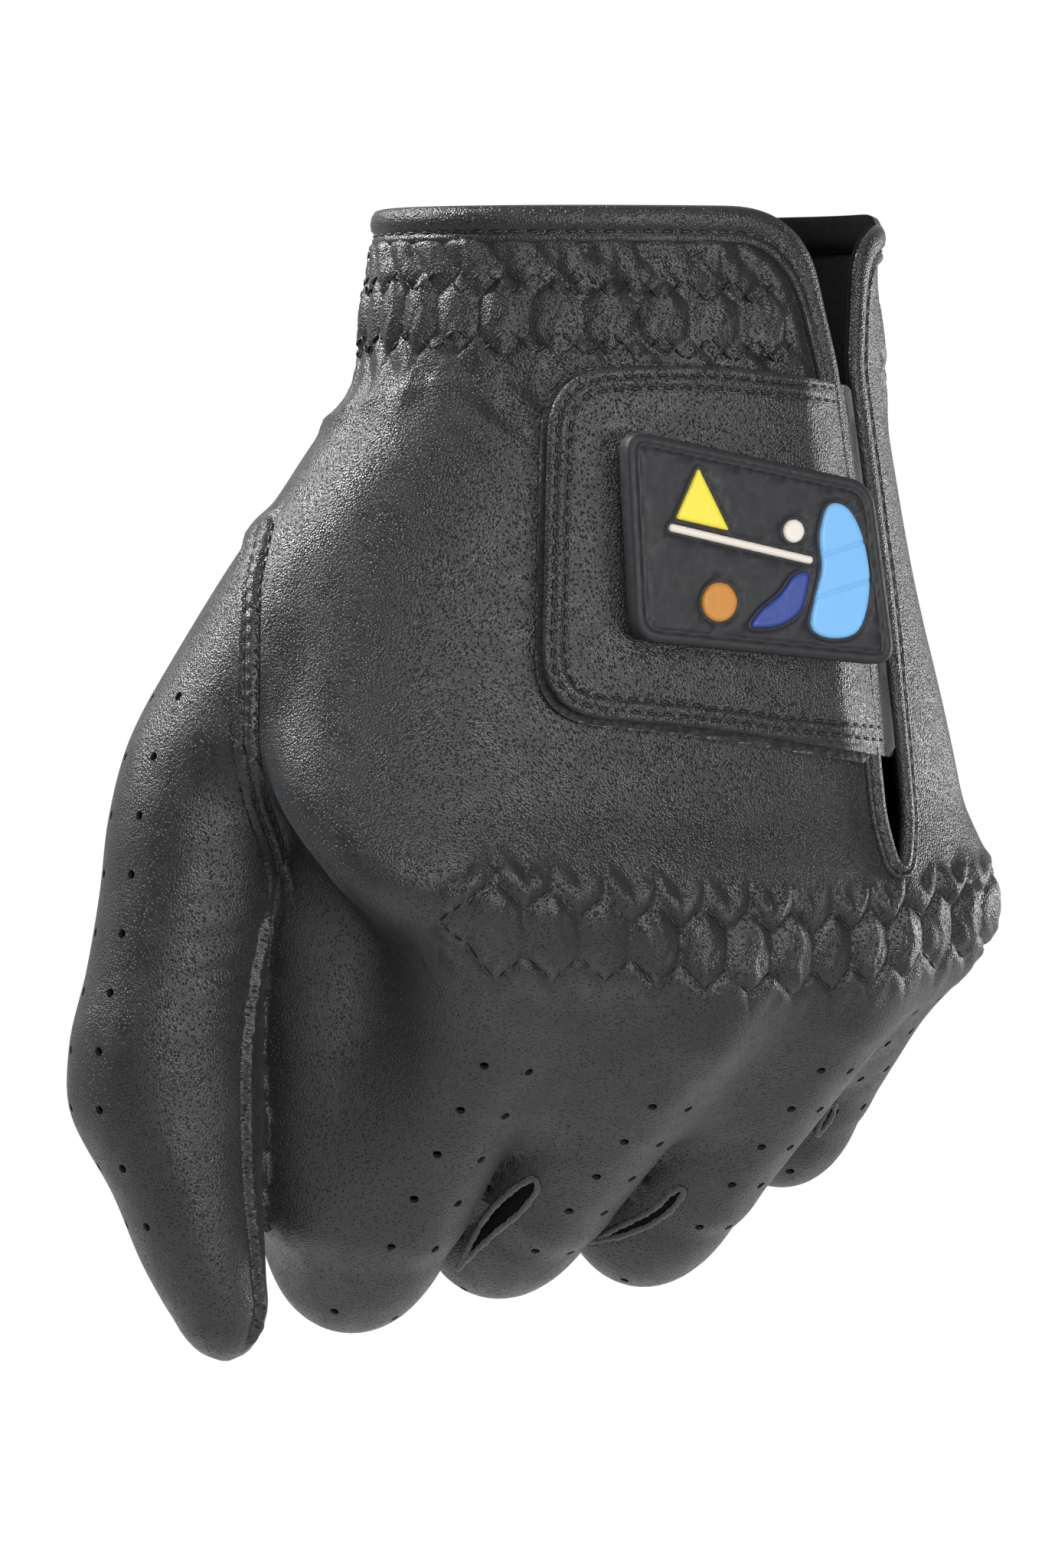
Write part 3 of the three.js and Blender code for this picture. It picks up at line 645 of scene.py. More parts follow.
# Near-black, rough and suede-like: painted shade for the glove's inside, the binding's inner lip and the
# slits between the fingers.
INSIDE_SHADE = plain("dark_suede_inside", (0.003, 0.003, 0.0032), 0.95, 0.1, 1500, 0.0, 0.03)
LEATHER = leather("glove_leather", (0.0095, 0.0098, 0.0106), (0.0145, 0.0150, 0.0162), (0.33, 0.47))
EDGE = leather("binding_leather", (0.0085, 0.0088, 0.0095), (0.0125, 0.013, 0.014), (0.31, 0.43), 0.3)
RAW_EDGE = plain("raw_leather_edge", (0.022, 0.022, 0.023), 0.7, 0.3, 1800, 0.2)
THREADS = plain("black_thread", (0.004, 0.004, 0.0045), 0.5, 0.03, 3000, 0.0)
LINING = plain("fourchette_lining", (0.016, 0.016, 0.017), 0.85, 0.1, 1500, 0.3)
LOOP = woven("loop_textile", (0.03, 0.03, 0.031), 0.9)
HOOK = woven("hook_tape", (0.012, 0.012, 0.013), 0.8, 0.5, 0.1)
LABEL = woven("woven_label", (0.02, 0.02, 0.021), 0.4, 0.8, 0.1)
ELASTIC = woven("elastic_band", (0.02, 0.02, 0.021), 1.0, 0.8, 0.2)
RUBBER = plain("badge_rubber", (0.011, 0.0115, 0.013), 0.6, 0.04, 1500, 0.0, 0.3)


INLAY = {name: plain("inlay_" + name, colour, 0.5, 0.04, 1500, 0.0, 0.4) for name, colour in {
    "sky": (0.11, 0.29, 0.52), "navy": (0.010, 0.030, 0.17), "white": (0.5, 0.46, 0.41),
    "sun": (0.55, 0.46, 0.03), "sand": (0.34, 0.14, 0.014)}.items()}


# ---- the glove's own lines ----

THUMB_SEAM = np.array([[-38, -46.5], [-41, -48.2], [-50, -50], [-70, -50.2], [-78, -49], [-88, -46],
                       [-100, -45]])[::-1]
SLIT_AXIS = np.array([[2, 27.2], [-4, 27.4], [-21, 29], [-50, 33], [-86, 36.6]])[::-1]
SLIT_HALF = np.array([[2, 4.7], [-4, 3.6], [-21, 1.2], [-50, 1.2], [-70, 1.5], [-80, 1.4],
                      [-86.5, 0.3]])[::-1]
STRIP_ROWS = (1.6, 3.3)                  # stitch rows on the thumb seam's strip, from its edge
WRIST_PEAK = (97.7, 11.0)                # one zigzag peak at the wrist, and the angle between peaks
KNUCKLE_TOP = np.array([[-18, -89.2], [-5, -91.2], [8, -92.9], [26, -93.9], [36, -92.8], [48, -89]])
KNUCKLE_LOW = np.array([[-18, -99.2], [-2, -99.5], [12, -100.9], [24, -101.7], [34, -100.4], [48, -97]])
KNUCKLE_PEAKS = (-16.2, 7.35, -0.155)    # x of the n-th peak: a + b n + c n^2
SWING = 1.5                              # half the height of a zigzag
INSEAM = 32.0                            # angle of the raised seam round the thumb
FINGER_SEAM = 70.0                       # angle of a finger's side seams, from its back
THUMB_VENTS = (131, 165)                 # angles of the thumb's two rows of holes
FINGER_VENTS = {                         # first hole, number of holes, each row's distance from the middle
    "index": (7, 7, 3.3), "middle": (11, 6, 2.8), "ring": (6, 6, 2.5), "little": (2, 5, 2.5)}
VENT_PITCH = 8


def row(table, z):
    return np.interp(z, table[:, 0], table[:, 1])


def thumb_side(p):
    """Above 0 on the thumb's own piece of leather."""
    high = np.minimum(row(THUMB_SEAM, p[:, 2]) - p[:, 0], -40.5 - p[:, 2])
    rest = np.minimum(hand_distance(p), web_distance(p))
    for g in fingers:
        rest = np.minimum(rest, np.minimum(g.root_distance(p), g.curl_distance(p)))
    low = rest - thumb_distance(p)
    share = ease(p[:, 2], -97, -90)
    return high * share + low * (1 - share)


def edge_side(p):
    """Above 0 on the leather, 0 along the cuff's edge and round the slit."""
    rim = 0.03 * p[:, 1] - 0.6 - p[:, 2]
    gap = np.abs(p[:, 0] - row(SLIT_AXIS, p[:, 2])) - row(SLIT_HALF, p[:, 2])
    gap = np.maximum(gap, -86.5 - p[:, 2])
    gap = np.maximum(gap, p[:, 1] - np.interp(p[:, 2], [-90, 0], [12, 0]))
    return smooth_min(rim, gap, 9.0)


def palm_side(p):
    """Above 0 on the palm's panel."""
    _, v, _, deep = hand_frame(p)
    return -v - 0.42 * deep


def finger_side(g, p):
    """Above 0 on the skin of finger g beyond its cut."""
    rest = np.minimum(np.minimum(hand_distance(p), thumb_distance(p)), web_distance(p))
    for other in fingers:
        if other is not g:
            rest = np.minimum(rest, np.minimum(other.root_distance(p), other.curl_distance(p)))
    own = np.minimum(g.root_distance(p), g.curl_distance(p))
    ahead = (p - g.mcp) @ g.f - FINGER_CUT
    under = -((p - g.mcp) @ g.up) - g.radii[0] - 4
    return np.minimum(np.maximum(ahead, under), rest - own)


def wrist_phase(p):
    """Counts the wrist's zigzag peaks, from one on the back towards the little finger."""
    u, v, wide, deep = hand_frame(p)
    return (WRIST_PEAK[0] - np.degrees(np.arctan2(v / deep, u / wide))) / WRIST_PEAK[1], v / deep


def wrist_lines(x):
    return -11.5 - 0.03 * x, -19.2 - 0.02 * x


def knuckle_phase(x):
    a, b, c = KNUCKLE_PEAKS
    return (-b + np.sqrt(np.maximum(b * b + 4 * c * (x - a), 1))) / (2 * c)


def vent_holes():
    """Centres of the small holes along the thumb and the backs of the fingers."""
    centres = []
    for angle in THUMB_VENTS:
        for i in range(10):
            z = -64.3 - 7.7 * i
            cx, cy, wide, deep = (float(c) for c in columns(THUMB_FINE, z))
            turn = math.radians(angle)
            centres.append((cx + wide * math.cos(turn), cy - deep * math.sin(turn), z))
    for g in fingers:
        first, count, aside = FINGER_VENTS[g.name]
        for i in range(count):
            centre, _, up = g.at(first + VENT_PITCH * i)
            r = g.radius(first + VENT_PITCH * i)
            for side in (-aside, aside):
                centres.append(centre + g.side * side + up * math.sqrt(r * r - side * side))
    return to_skin(np.array(centres), 4)


def near(p, places):
    """Distance from each point to the nearest of a few places."""
    best = np.full(len(p), 1e9)
    for place in places:
        best = np.minimum(best, ((p - place) ** 2).sum(1))
    return np.sqrt(best)


# ---- relief: how far each point of the skin stands out ----

def tri(phase):
    """1 on whole numbers, -1 half way between them."""
    return 1 - 4 * np.abs(phase - np.round(phase))


def puff(phase):
    """One rounded swelling round each whole number, with a sharp valley between."""
    aside = 2 * np.abs(phase - np.round(phase))
    size = 0.85 + 0.2 * np.sin(np.round(phase) * 2.4)
    return size * np.clip(1 - aside ** 2, 0, 1) ** 0.6


def gathered(phase, z, top, low, height, reach, lean):
    """Leather gathered by two zigzag seams, with pleats that run out above and below them."""
    over = (z - top - SWING * tri(phase)) * 0.74
    under = (low - SWING * tri(phase) - z) * 0.74
    seam = np.minimum(np.abs(over), np.abs(under))
    lift = 1 - np.exp(-seam / 0.7)
    crinkle = 1 + 0.10 * np.sin(19 * phase + 1.7 * np.sin(z))
    above = puff(phase + 0.5 + lean * over) * (1 - ease(over, 0.35 * reach[0], reach[0]))
    below = puff(phase + 0.5 - lean * under) * 0.8 * (1 - ease(under, 0, reach[1]))
    cell = np.where(over > 0, above, np.where(under > 0, below, puff(phase)))
    return height * lift * crinkle * cell


def wrist_relief(p):
    phase, out = wrist_phase(p)
    top, low = wrist_lines(p[:, 0])
    strength = 0.3 + 0.7 * ease(out, -0.6, -0.1)
    strength = strength * ease(edge_side(p), 3.0, 4.6)
    return strength * gathered(phase, p[:, 2], top, low, 1.15, (9.0, 7.0), 0.11)


def knuckle_relief(p, n):
    x, z = p[:, 0], p[:, 2]
    phase = knuckle_phase(x)
    point = ease(x, -24.5, -18.5)
    middle = (row(KNUCKLE_TOP, x) + row(KNUCKLE_LOW, x)) / 2
    half = (row(KNUCKLE_TOP, x) - row(KNUCKLE_LOW, x)) / 2 * point
    h = gathered(phase, z, middle + half, middle - half, 1.5, (4.0, 4.0), 0.0)
    on_back = ease(-n[:, 1], -0.3, 0.1) * ease(x, -25, -22) * ease(20 - p[:, 1], 0, 6)
    return h * on_back


def strip_relief(p):
    """The overlapped strip that closes the thumb seam, with its two sunk stitch rows."""
    dx = p[:, 0] - row(THUMB_SEAM, p[:, 2])
    along = ease(p[:, 2], -93, -84) * ease(p[:, 2], -38, -42) * (p[:, 1] < 3)
    h = np.where(dx > 0, 0.75 - 0.25 * ease(dx, 1.8, 4) - 0.5 * ease(dx, 3.5, 10), 0)
    bead = 1 - np.abs((dx - sum(STRIP_ROWS) / 2) / 0.85) ** 2
    h = h + 0.3 * np.clip(bead, 0, 1) * (1 + 0.3 * np.sin(3.1 * p[:, 2]))
    for at in STRIP_ROWS:
        h = h - 0.4 * hump(dx, at, 0.28)
    return h * along


def thumb_angle(p):
    """The angle of each point round the thumb, in degrees, and the thumb's half sizes there."""
    cx, cy, wide, deep = columns(THUMB_FINE, p[:, 2])
    return np.degrees(np.arctan2(-(p[:, 1] - cy) / deep, (p[:, 0] - cx) / wide)), wide, deep


def inseam_relief(p):
    """The raised seam round the thumb's end, between two sunk lines."""
    angle, wide, deep = thumb_angle(p)
    away = np.radians(angle - INSEAM - 2 * np.sin(p[:, 2] / 7)) * (wide + deep) / 2
    ridge = 0.9 * hump(away, 0, 0.42, 4) - 0.35 * hump(np.abs(away), 0.95, 0.4)
    share = ease(p[:, 2], -91, -95) * ease(p[:, 2], -151, -147) * (np.abs(thumb_distance(p)) < 1.5)
    wave = 1 + 0.12 * np.sin(p[:, 2] * 2.9)
    return ridge * wave * share


def soft_folds(p):
    """Slack in the leather: folds below the wrist and across the thumb's bend."""
    x, z = p[:, 0], p[:, 2]
    way = (x + 12) * 0.75 + (z + 24) * 0.65
    below = 0.28 * np.sin(way / 0.85 + 1.6 * np.sin(z / 5))
    below = below * np.exp(-(((x + 13) / 9) ** 2 + ((z + 27) / 6) ** 2))
    bend = 0.22 * np.sin(z / 0.75 - x * 0.5 + 1.5 * np.sin(x / 4))
    bend = bend * np.exp(-(((x + 53) / 6) ** 2 + ((z + 102) / 11) ** 2))
    return below + bend


def relief(p, n):
    total = wrist_relief(p) + knuckle_relief(p, n) + strip_relief(p) + inseam_relief(p)
    return total + soft_folds(p) * ease(-n[:, 1], 0, 0.4)


# ---- the leather skin ----

def skin_detail(holes):
    """A rule for the longest edge wanted at each place."""
    def longest(m):
        x, y, z = m.T
        size = np.full(len(m), 2.0)
        size[between(z, -28, -2)] = 0.72                                    # gathers at the wrist
        size[between(z, -106, -86) & (x > -26) & (y < 22)] = 0.7            # gathers over the knuckles
        size[between(z, -34, -20) & (np.abs(x + 13) < 14) & (y < 0)] = 0.7  # folds below the wrist
        seam = x - row(THUMB_SEAM, z)
        size[between(seam, -0.7, 4.6) & between(z, -94, -38) & (y < 4)] = 0.4
        raised = (np.abs(thumb_angle(m)[0] - INSEAM) < 12) & (z < -90) & (x < -42)
        size[raised] = 0.42
        size[(np.abs(x + 53) < 10) & (np.abs(z + 102) < 16) & (y < 0) & ~raised] = 0.7
        size[near(m, holes) < 1.5] = 0.4
        return size * 1.0
    return longest


def skin_piece(name, verts, tris, material, inside):
    n = normals(verts)
    out = verts + n * relief(verts, n)[:, None]
    inner = verts - n * SKIN
    points, faces = thicken(out, inner, tris)
    obj = make(name, points, faces, material, rest=np.concatenate([verts, inner]), sharp=60)
    obj.data.materials.append(inside)
    # the inside faces take the near-black painted-shade material
    which = np.zeros(len(faces), np.int32)
    which[len(tris):2 * len(tris)] = 1
    obj.data.polygons.foreach_set("material_index", which)
    return obj


def build_skin():
    """The glove's leather as separate pieces, and the run of its edge at the cuff and slit."""
    holes = vent_holes()
    longest = skin_detail(holes)
    verts, tris = first_skin(*REGION, GRID)
    verts = to_skin(relax(verts, tris, 2))
    for _ in range(3):
        old = len(verts)
        verts, tris = refine(verts, tris, longest)
        verts[old:] = to_skin(verts[old:], 2)
    verts, tris = keep_where(verts, tris, edge_side(verts))
    edge = edge_run(verts, tris)
    verts, tris = keep_where(verts, tris, near(verts, holes) - HOLE)
    pieces = {}
    for g in fingers:
        value = finger_side(g, verts)
        own = keep_where(verts, tris, value)
        verts, tris = keep_where(verts, tris, -value)
        middle = (g.marks[2] + g.marks[3]) / 2
        centre, forward, _ = g.at(middle)
        ahead = (own[0] - centre) @ forward
        pieces[g.name + "_outer"] = keep_where(*own, -ahead)
        pieces[g.name + "_end"] = keep_where(*own, ahead)
    value = thumb_side(verts)
    thumb = keep_where(verts, tris, value)
    verts, tris = keep_where(verts, tris, -value)
    value = palm_side(verts)
    pieces["back"] = keep_where(verts, tris, -value)
    pieces["palm"] = keep_where(verts, tris, value)
    pieces["thumb_outer"] = keep_where(*thumb, thumb[0][:, 2] - THUMB_SPLIT)
    pieces["thumb_end"] = keep_where(*thumb, THUMB_SPLIT - thumb[0][:, 2])
    return pieces, edge


def edge_run(verts, tris):
    """The open edge as one even closed line, with the leather on its left."""
    following = dict(open_edges(len(verts), tris).tolist())
    loop = [next(iter(following))]
    while following[loop[-1]] != loop[0]:
        loop.append(following[loop[-1]])
    line = evenly(verts[loop], 0.7, closed=True)
    for _ in range(4):
        line = (np.roll(line, 1, 0) + 2 * line + np.roll(line, -1, 0)) / 4
    return line


def reaches(line):
    """How far along the line each of its points lies."""
    return np.concatenate([[0], np.cumsum(np.linalg.norm(np.diff(line, axis=0), axis=1))])


def sampled(want, reach, table):
    """The rows of the table at the wanted distances."""
    return np.stack([np.interp(want, reach, table[:, c]) for c in range(table.shape[1])], 1)


def evenly(points, step, closed=False):
    """The line through the points, cut into even steps."""
    points = np.asarray(points, float)
    if closed:
        points = np.concatenate([points, points[:1]])
    reach = reaches(points)
    count = max(int(round(reach[-1] / step)), 1)
    want = np.linspace(0, reach[-1], count + 1)
    if closed:
        want = want[:-1]
    return sampled(want, reach, points)


def metres(p):
    return tuple(float(x) * MM for x in p)


def over_knuckles(obj):
    """Sets a piece's placement into its points."""
    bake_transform(obj)


def glove_skin():
    pieces, edge = build_skin()
    made = {name: skin_piece("skin_" + name, *mesh, LEATHER, INSIDE_SHADE) for name, mesh in pieces.items()}
    over_knuckles(made["back"])
    over_knuckles(made["palm"])
    for g in fingers:
        outer, end = made[g.name + "_outer"], made[g.name + "_end"]
        metres(g.at(g.marks[1] + 2)[0])
        metres(g.at(g.marks[2] + 1)[0])
        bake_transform(outer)
        metres(g.at(g.marks[3] - 1)[0])
        metres(g.at(g.marks[4] + 1)[0])
        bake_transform(end)
        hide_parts(g.name + "_middle")
        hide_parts(g.name + "_tip")
    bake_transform(made["thumb_outer"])
    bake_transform(made["thumb_end"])
    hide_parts("thumb_base", "thumb_elbow", "thumb_sleeve")
    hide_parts("thumb_tip_elbow", "thumb_tip")
    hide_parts("back_panel", "knuckle_leather", *[g.name + "_back" for g in fingers])
    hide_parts("palm_panel", "palm_crease", *[g.name + "_front" for g in fingers])
    return edge


# ---- sewn edges and threads ----

# The binding's section, in shares of its width and height. The first points lie inside the glove.
PROFILE = np.array([
    [0.95, -1.25], [0.5, -1.5], [0.12, -1.4], [-0.08, -0.95], [-0.13, -0.15], [-0.07, 0.6], [0.1, 1.0],
    [0.3, 1.12], [0.5, 0.95], [0.6, 0.5], [0.67, 0.42], [0.75, 0.72], [0.88, 0.74], [0.98, 0.45],
    [1.0, -0.3]])
PROFILE_INSIDE = 4                       # how many of those points lie inside
BINDING_WIDE = 4.5
BINDING_ROW = 0.65                       # where the stitches lie across the binding


def sweep(line, across, up, profile, closed=False):
    """A tube whose section, given across and up at each point of the line, is the profile."""
    rings = line[:, None] + across[:, None] * profile[:, :, :1] + up[:, None] * profile[:, :, 1:]
    n, m = rings.shape[:2]
    i, j = np.meshgrid(np.arange(n if closed else n - 1), np.arange(m), indexing="ij")
    corner = [((i + di) % n) * m + (j + dj) % m for di, dj in ((0, 0), (0, 1), (1, 1), (1, 0))]
    quads = np.stack(corner, -1).reshape(-1, 4)
    tris = np.concatenate([quads[:, [0, 1, 2]], quads[:, [0, 2, 3]]])
    points = rings.reshape(-1, 3)
    if not closed:
        ends = np.array([line[i] + up[i] * profile[i, :, 1].mean() for i in (0, -1)])
        a = np.arange(m)
        b = (a + 1) % m
        first = np.stack([np.full(m, n * m), b, a], 1)
        last = np.stack([np.full(m, n * m + 1), a + (n - 1) * m, b + (n - 1) * m], 1)
        points, tris = np.concatenate([points, ends]), np.concatenate([tris, first, last])
    return points, tris


def edge_binding(edge):
    """The narrow leather folded over the cuff's edge and on down both sides of the slit."""
    up = normals(edge)
    ahead = np.roll(edge, -1, 0) - np.roll(edge, 1, 0)
    inward = unit_rows(np.cross(up, ahead))
    width = BINDING_WIDE - 1.1 * ease(edge[:, 2], -4, -14) - 0.9 * ease(edge[:, 2], -50, -70)
    ripple = 1 + 0.03 * np.sin(np.arange(len(edge)) * 1.3) * np.sin(np.arange(len(edge)) * 0.37)
    profile = PROFILE[None] * np.stack([width, 0.72 + 0.28 * width / BINDING_WIDE * ripple], 1)[:, None]
    points, tris = sweep(edge, inward, up, profile, closed=True)
    binding = make("edge_binding", points, tris[:, ::-1], EDGE)
    binding.data.materials.append(INSIDE_SHADE)
    # painted shade: the binding's faces inside the glove take the near-black material
    inner = (np.arange(len(edge) * len(PROFILE)) % len(PROFILE) < PROFILE_INSIDE).astype(np.int32)
    binding.data.polygons.foreach_set("material_index", np.concatenate([inner, inner]))
    over_knuckles(binding)
    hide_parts("cuff_binding", "slit_binding")
    return edge + inward * (width * BINDING_ROW)[:, None] + up * 0.42, up


def capsules(a, b, up, radius=THREAD):
    """A short thread from each a to each b, dipping into the leather at both ends."""
    t = np.array([0, 0.1, 0.3, 0.7, 0.9, 1])
    size = radius * np.array([0.3, 0.8, 1, 1, 0.8, 0.3])
    rise = np.array([-0.3, -0.02, 0.1, 0.1, -0.02, -0.3])
    way = b - a
    side = unit_rows(np.cross(up, way))
    turn = np.arange(6) * math.pi / 3
    centre = a[:, None] + way[:, None] * t[:, None] + up[:, None] * rise[:, None]
    ring = side[:, None, None] * np.cos(turn)[:, None] + up[:, None, None] * np.sin(turn)[:, None]
    points = centre[:, :, None] + ring * size[:, None, None]
    faces = []
    for i in range(5):
        for j in range(6):
            k = (j + 1) % 6
            faces += [(i * 6 + j, i * 6 + k, i * 6 + 6 + k), (i * 6 + j, i * 6 + 6 + k, i * 6 + 6 + j)]
    faces += [(0, k + 1, k) for k in range(1, 5)] + [(30, 30 + k, 31 + k) for k in range(1, 5)]
    faces = np.array(faces)
    all_faces = faces[None] + (np.arange(len(a)) * 36)[:, None, None]
    return points.reshape(-1, 3), all_faces.reshape(-1, 3)


def stitched(line, up, pitch, share=0.74):
    """The two ends and the up direction of each stitch along a line."""
    line = np.asarray(line, float)
    reach = reaches(line)
    count = max(int(round(reach[-1] / pitch)), 1)
    starts = np.arange(count) * reach[-1] / count + (1 - share) / 2 * pitch
    ends = starts + share * pitch
    return [sampled(at, reach, table) for table, at in ((line, starts), (line, ends), (up, starts))]


def threads(name, runs, body, radius=THREAD):
    """Every stitch of one set, as one piece on one body, or with its placement set into its points when no
    body is given.
    """
    a, b, up = (np.concatenate([run[i] for run in runs]) for i in range(3))
    obj = make(name, *capsules(a, b, up, radius), THREADS)
    if body is None:
        over_knuckles(obj)
    else:
        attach(obj, body)


def on_leather(p, lift):
    """Points of the skin lifted onto its relief, with the directions out of it."""
    n = normals(p)
    return p + n * (relief(p, n) + lift)[:, None], n


def zigzag_runs(corners, stitches=2):
    """Stitches along the legs of a zigzag whose corners lie on the skin."""
    corners = to_skin(corners)
    runs = []
    for p, q in zip(corners, corners[1:]):
        leg = to_skin(p + (q - p) * np.linspace(0, 1, 9)[:, None])
        line, up = on_leather(leg, 0.1)
        runs.append(stitched(line, up, np.linalg.norm(q - p) / stitches, 0.8))
    return runs


def wrist_zigzags():
    """Two seams round the wrist, open at the slit."""
    runs = []
    for line in (0, 1):
        corners = []
        for half in range(-14, 10):
            phase = half / 2
            angle = math.radians(WRIST_PEAK[0] - WRIST_PEAK[1] * phase)
            p = np.array([[34 * math.cos(angle), -24 * math.sin(angle), -15.0]])
            p[:, 2] = wrist_lines(p[:, 0])[line] + SWING * (1 if half % 2 == 0 else -1) * (1 - 2 * line)
            if edge_side(p)[0] > 4.2:
                corners.append(p[0])
        runs += zigzag_runs(np.array(corners))
    return runs


def knuckle_zigzags():
    """Two seams across the knuckles that meet in a point beside the index finger."""
    a, b, c = KNUCKLE_PEAKS
    runs = []
    for table, sign in ((KNUCKLE_TOP, 1), (KNUCKLE_LOW, -1)):
        x, z = [-23.4, -20.3], [-93.0, -93.0 + sign * 2.6]
        for half in range(0, 21):
            n = half / 2
            at = a + b * n + c * n * n
            x.append(at)
            z.append(row(table, at) + sign * SWING * (1 if half % 2 == 0 else -1))
        runs += zigzag_runs(from_the_back(x, z))
    return runs


def seam_rows():
    """The two rows of stitches down the thumb seam's strip."""
    runs = []
    z = np.arange(-41.5, -88, -0.5)
    for aside in STRIP_ROWS:
        skin = from_the_back(row(THUMB_SEAM, z) + aside, z)
        line, up = on_leather(skin, 0.08)
        runs.append(stitched(line, up, 2.0))
    return runs


# ---- closure tab and badge ----

TAB = [(-9.4, -22.4), (12, -21.4), (29.8, -23.6), (34.8, -60), (36, -72.2), (12, -68.5), (-10.4, -66.6)]
TAB_ROUND = [8.5, 8, 0.8, 10, 0.8, 8, 8.5]
TAB_TOP = 4.0                            # height of the tab's face above the hand
TAB_THICK = 1.3
TAB_ROWS = (1.25, 2.9)                   # stitch rows, from the tab's edge
BADGE_AT = np.array([17.1, -25.6, -46.0])
BADGE_TURN = math.radians(24)
BADGE = [(-19.3, 15.8), (15.8, 9.4), (19.2, -14.3), (-17.8, -11.2)]
INLAYS = {
    "badge_green": ("navy", [(-1.6, -9.4), (2.2, -9.2), (5.2, -7.4), (6.3, -4.4), (6.4, -2.4), (4.4, -2.8),
                             (2.4, -5.2), (-0.4, -7.4)]),
    "badge_sky": ("sky", [(6.9, -9.4), (10, -10.8), (13.8, -9.6), (15.3, -4), (14.4, 2), (12.2, 6),
                          (9.4, 6.4), (8.1, 2.6), (8.4, -1.6), (7.5, -5.4)]),
    "badge_pole": ("white", [(-13.4, 2.8), (-13.2, 3.8), (7.2, -0.3), (7, -1.3)]),
    "badge_pennant": ("sun", [(-12.4, 4.4), (-9.2, 11), (-4.8, 2.9)]),
    "badge_ball": ("white", [(2.9, 3), (3.35, 4.05), (4.4, 4.5), (5.45, 4.05), (5.9, 3), (5.45, 1.95),
                             (4.4, 1.5), (3.35, 1.95)]),
    "badge_sand": ("sand", [(-8.6, -5.6), (-7.2, -3.9), (-5, -4), (-3.7, -5.9), (-4.4, -8), (-6.4, -8.8),
                            (-8.3, -7.7)]),
}
BADGE_TOP = 2.85                         # height of the badge's field above its foot
BADGE_LINE = 1.5                         # the sunk line, from the badge's edge
INLAY_FOOT = 2.2
INLAY_TOP = 3.1


def rounded(corners, reach):
    """A closed outline with each corner cut back by its reach and rounded."""
    corners = np.array(corners, float)
    out = []
    for before, here, after, r in zip(np.roll(corners, 1, 0), corners, np.roll(corners, -1, 0), reach):
        a = here + unit(before - here) * r
        b = here + unit(after - here) * r
        t = np.linspace(0, 1, 11)[:, None]
        out.append((1 - t) ** 2 * a + 2 * t * (1 - t) * here + t * t * b)
    return np.concatenate(out)


def smooth_loop(points, steps=6):
    """A closed curve through a few points."""
    p = np.array(points, float)
    a, b, c, d = np.roll(p, 1, 0), p, np.roll(p, -1, 0), np.roll(p, -2, 0)
    out = []
    for t in np.arange(steps) / steps:
        square, cube = 2 * a - 5 * b + 4 * c - d, 3 * b - a - 3 * c + d
        out.append(0.5 * (2 * b + (c - a) * t + square * t**2 + cube * t**3))
    return np.stack(out, 1).reshape(-1, 2)


def inside_by(p, outline):
    """How far each flat point lies inside a closed outline, below 0 outside it."""
    best = np.full(len(p), 1e9)
    within = np.zeros(len(p), bool)
    for a, b in zip(outline, np.roll(outline, -1, 0)):
        ab = b - a
        t = np.clip(((p - a) @ ab) / max(ab @ ab, 1e-9), 0, 1)
        best = np.minimum(best, ((p - a - t[:, None] * ab) ** 2).sum(1))
        crosses = (a[1] > p[:, 1]) != (b[1] > p[:, 1])
        rise = b[1] - a[1] if b[1] != a[1] else 1e-9
        within ^= crosses & (p[:, 0] < (b[0] - a[0]) * (p[:, 1] - a[1]) / rise + a[0])
    return np.where(within, 1, -1) * np.sqrt(best)


def flat_sheet(outline, cell, fine=None):
    """A flat triangle mesh that fills an outline, with finer cells where fine says so."""
    low, high = outline.min(0) - cell, outline.max(0) + cell
    xs, ys = np.arange(low[0], high[0] + cell, cell), np.arange(low[1], high[1] + cell, cell)
    grid = np.stack(np.meshgrid(xs, ys, indexing="ij"), -1)
    tris = grid_faces(*grid.shape[:2])
    verts = grid.reshape(-1, 2)
    if fine is not None:
        for _ in range(2):
            verts, tris = refine(verts, tris, fine)
    return keep_where(verts, tris, inside_by(verts, outline))


def tab_face(xz, lift):
    """Points above the hand, sinking into the slit at the tab's root."""
    root = row(SLIT_AXIS, xz[:, 1]) + 0.8 - xz[:, 0]
    sunk = 1 - 1.1 * (1 - ease(root, -0.5, 7))
    height = lift * sunk
    return from_the_back(xz[:, 0], xz[:, 1], height, hand_distance), root


def edge_drop(deep, height, reach):
    """How far a face falls towards its outline, over the reach inside it."""
    return height * np.clip(1 - deep / reach, 0, 1) ** 2


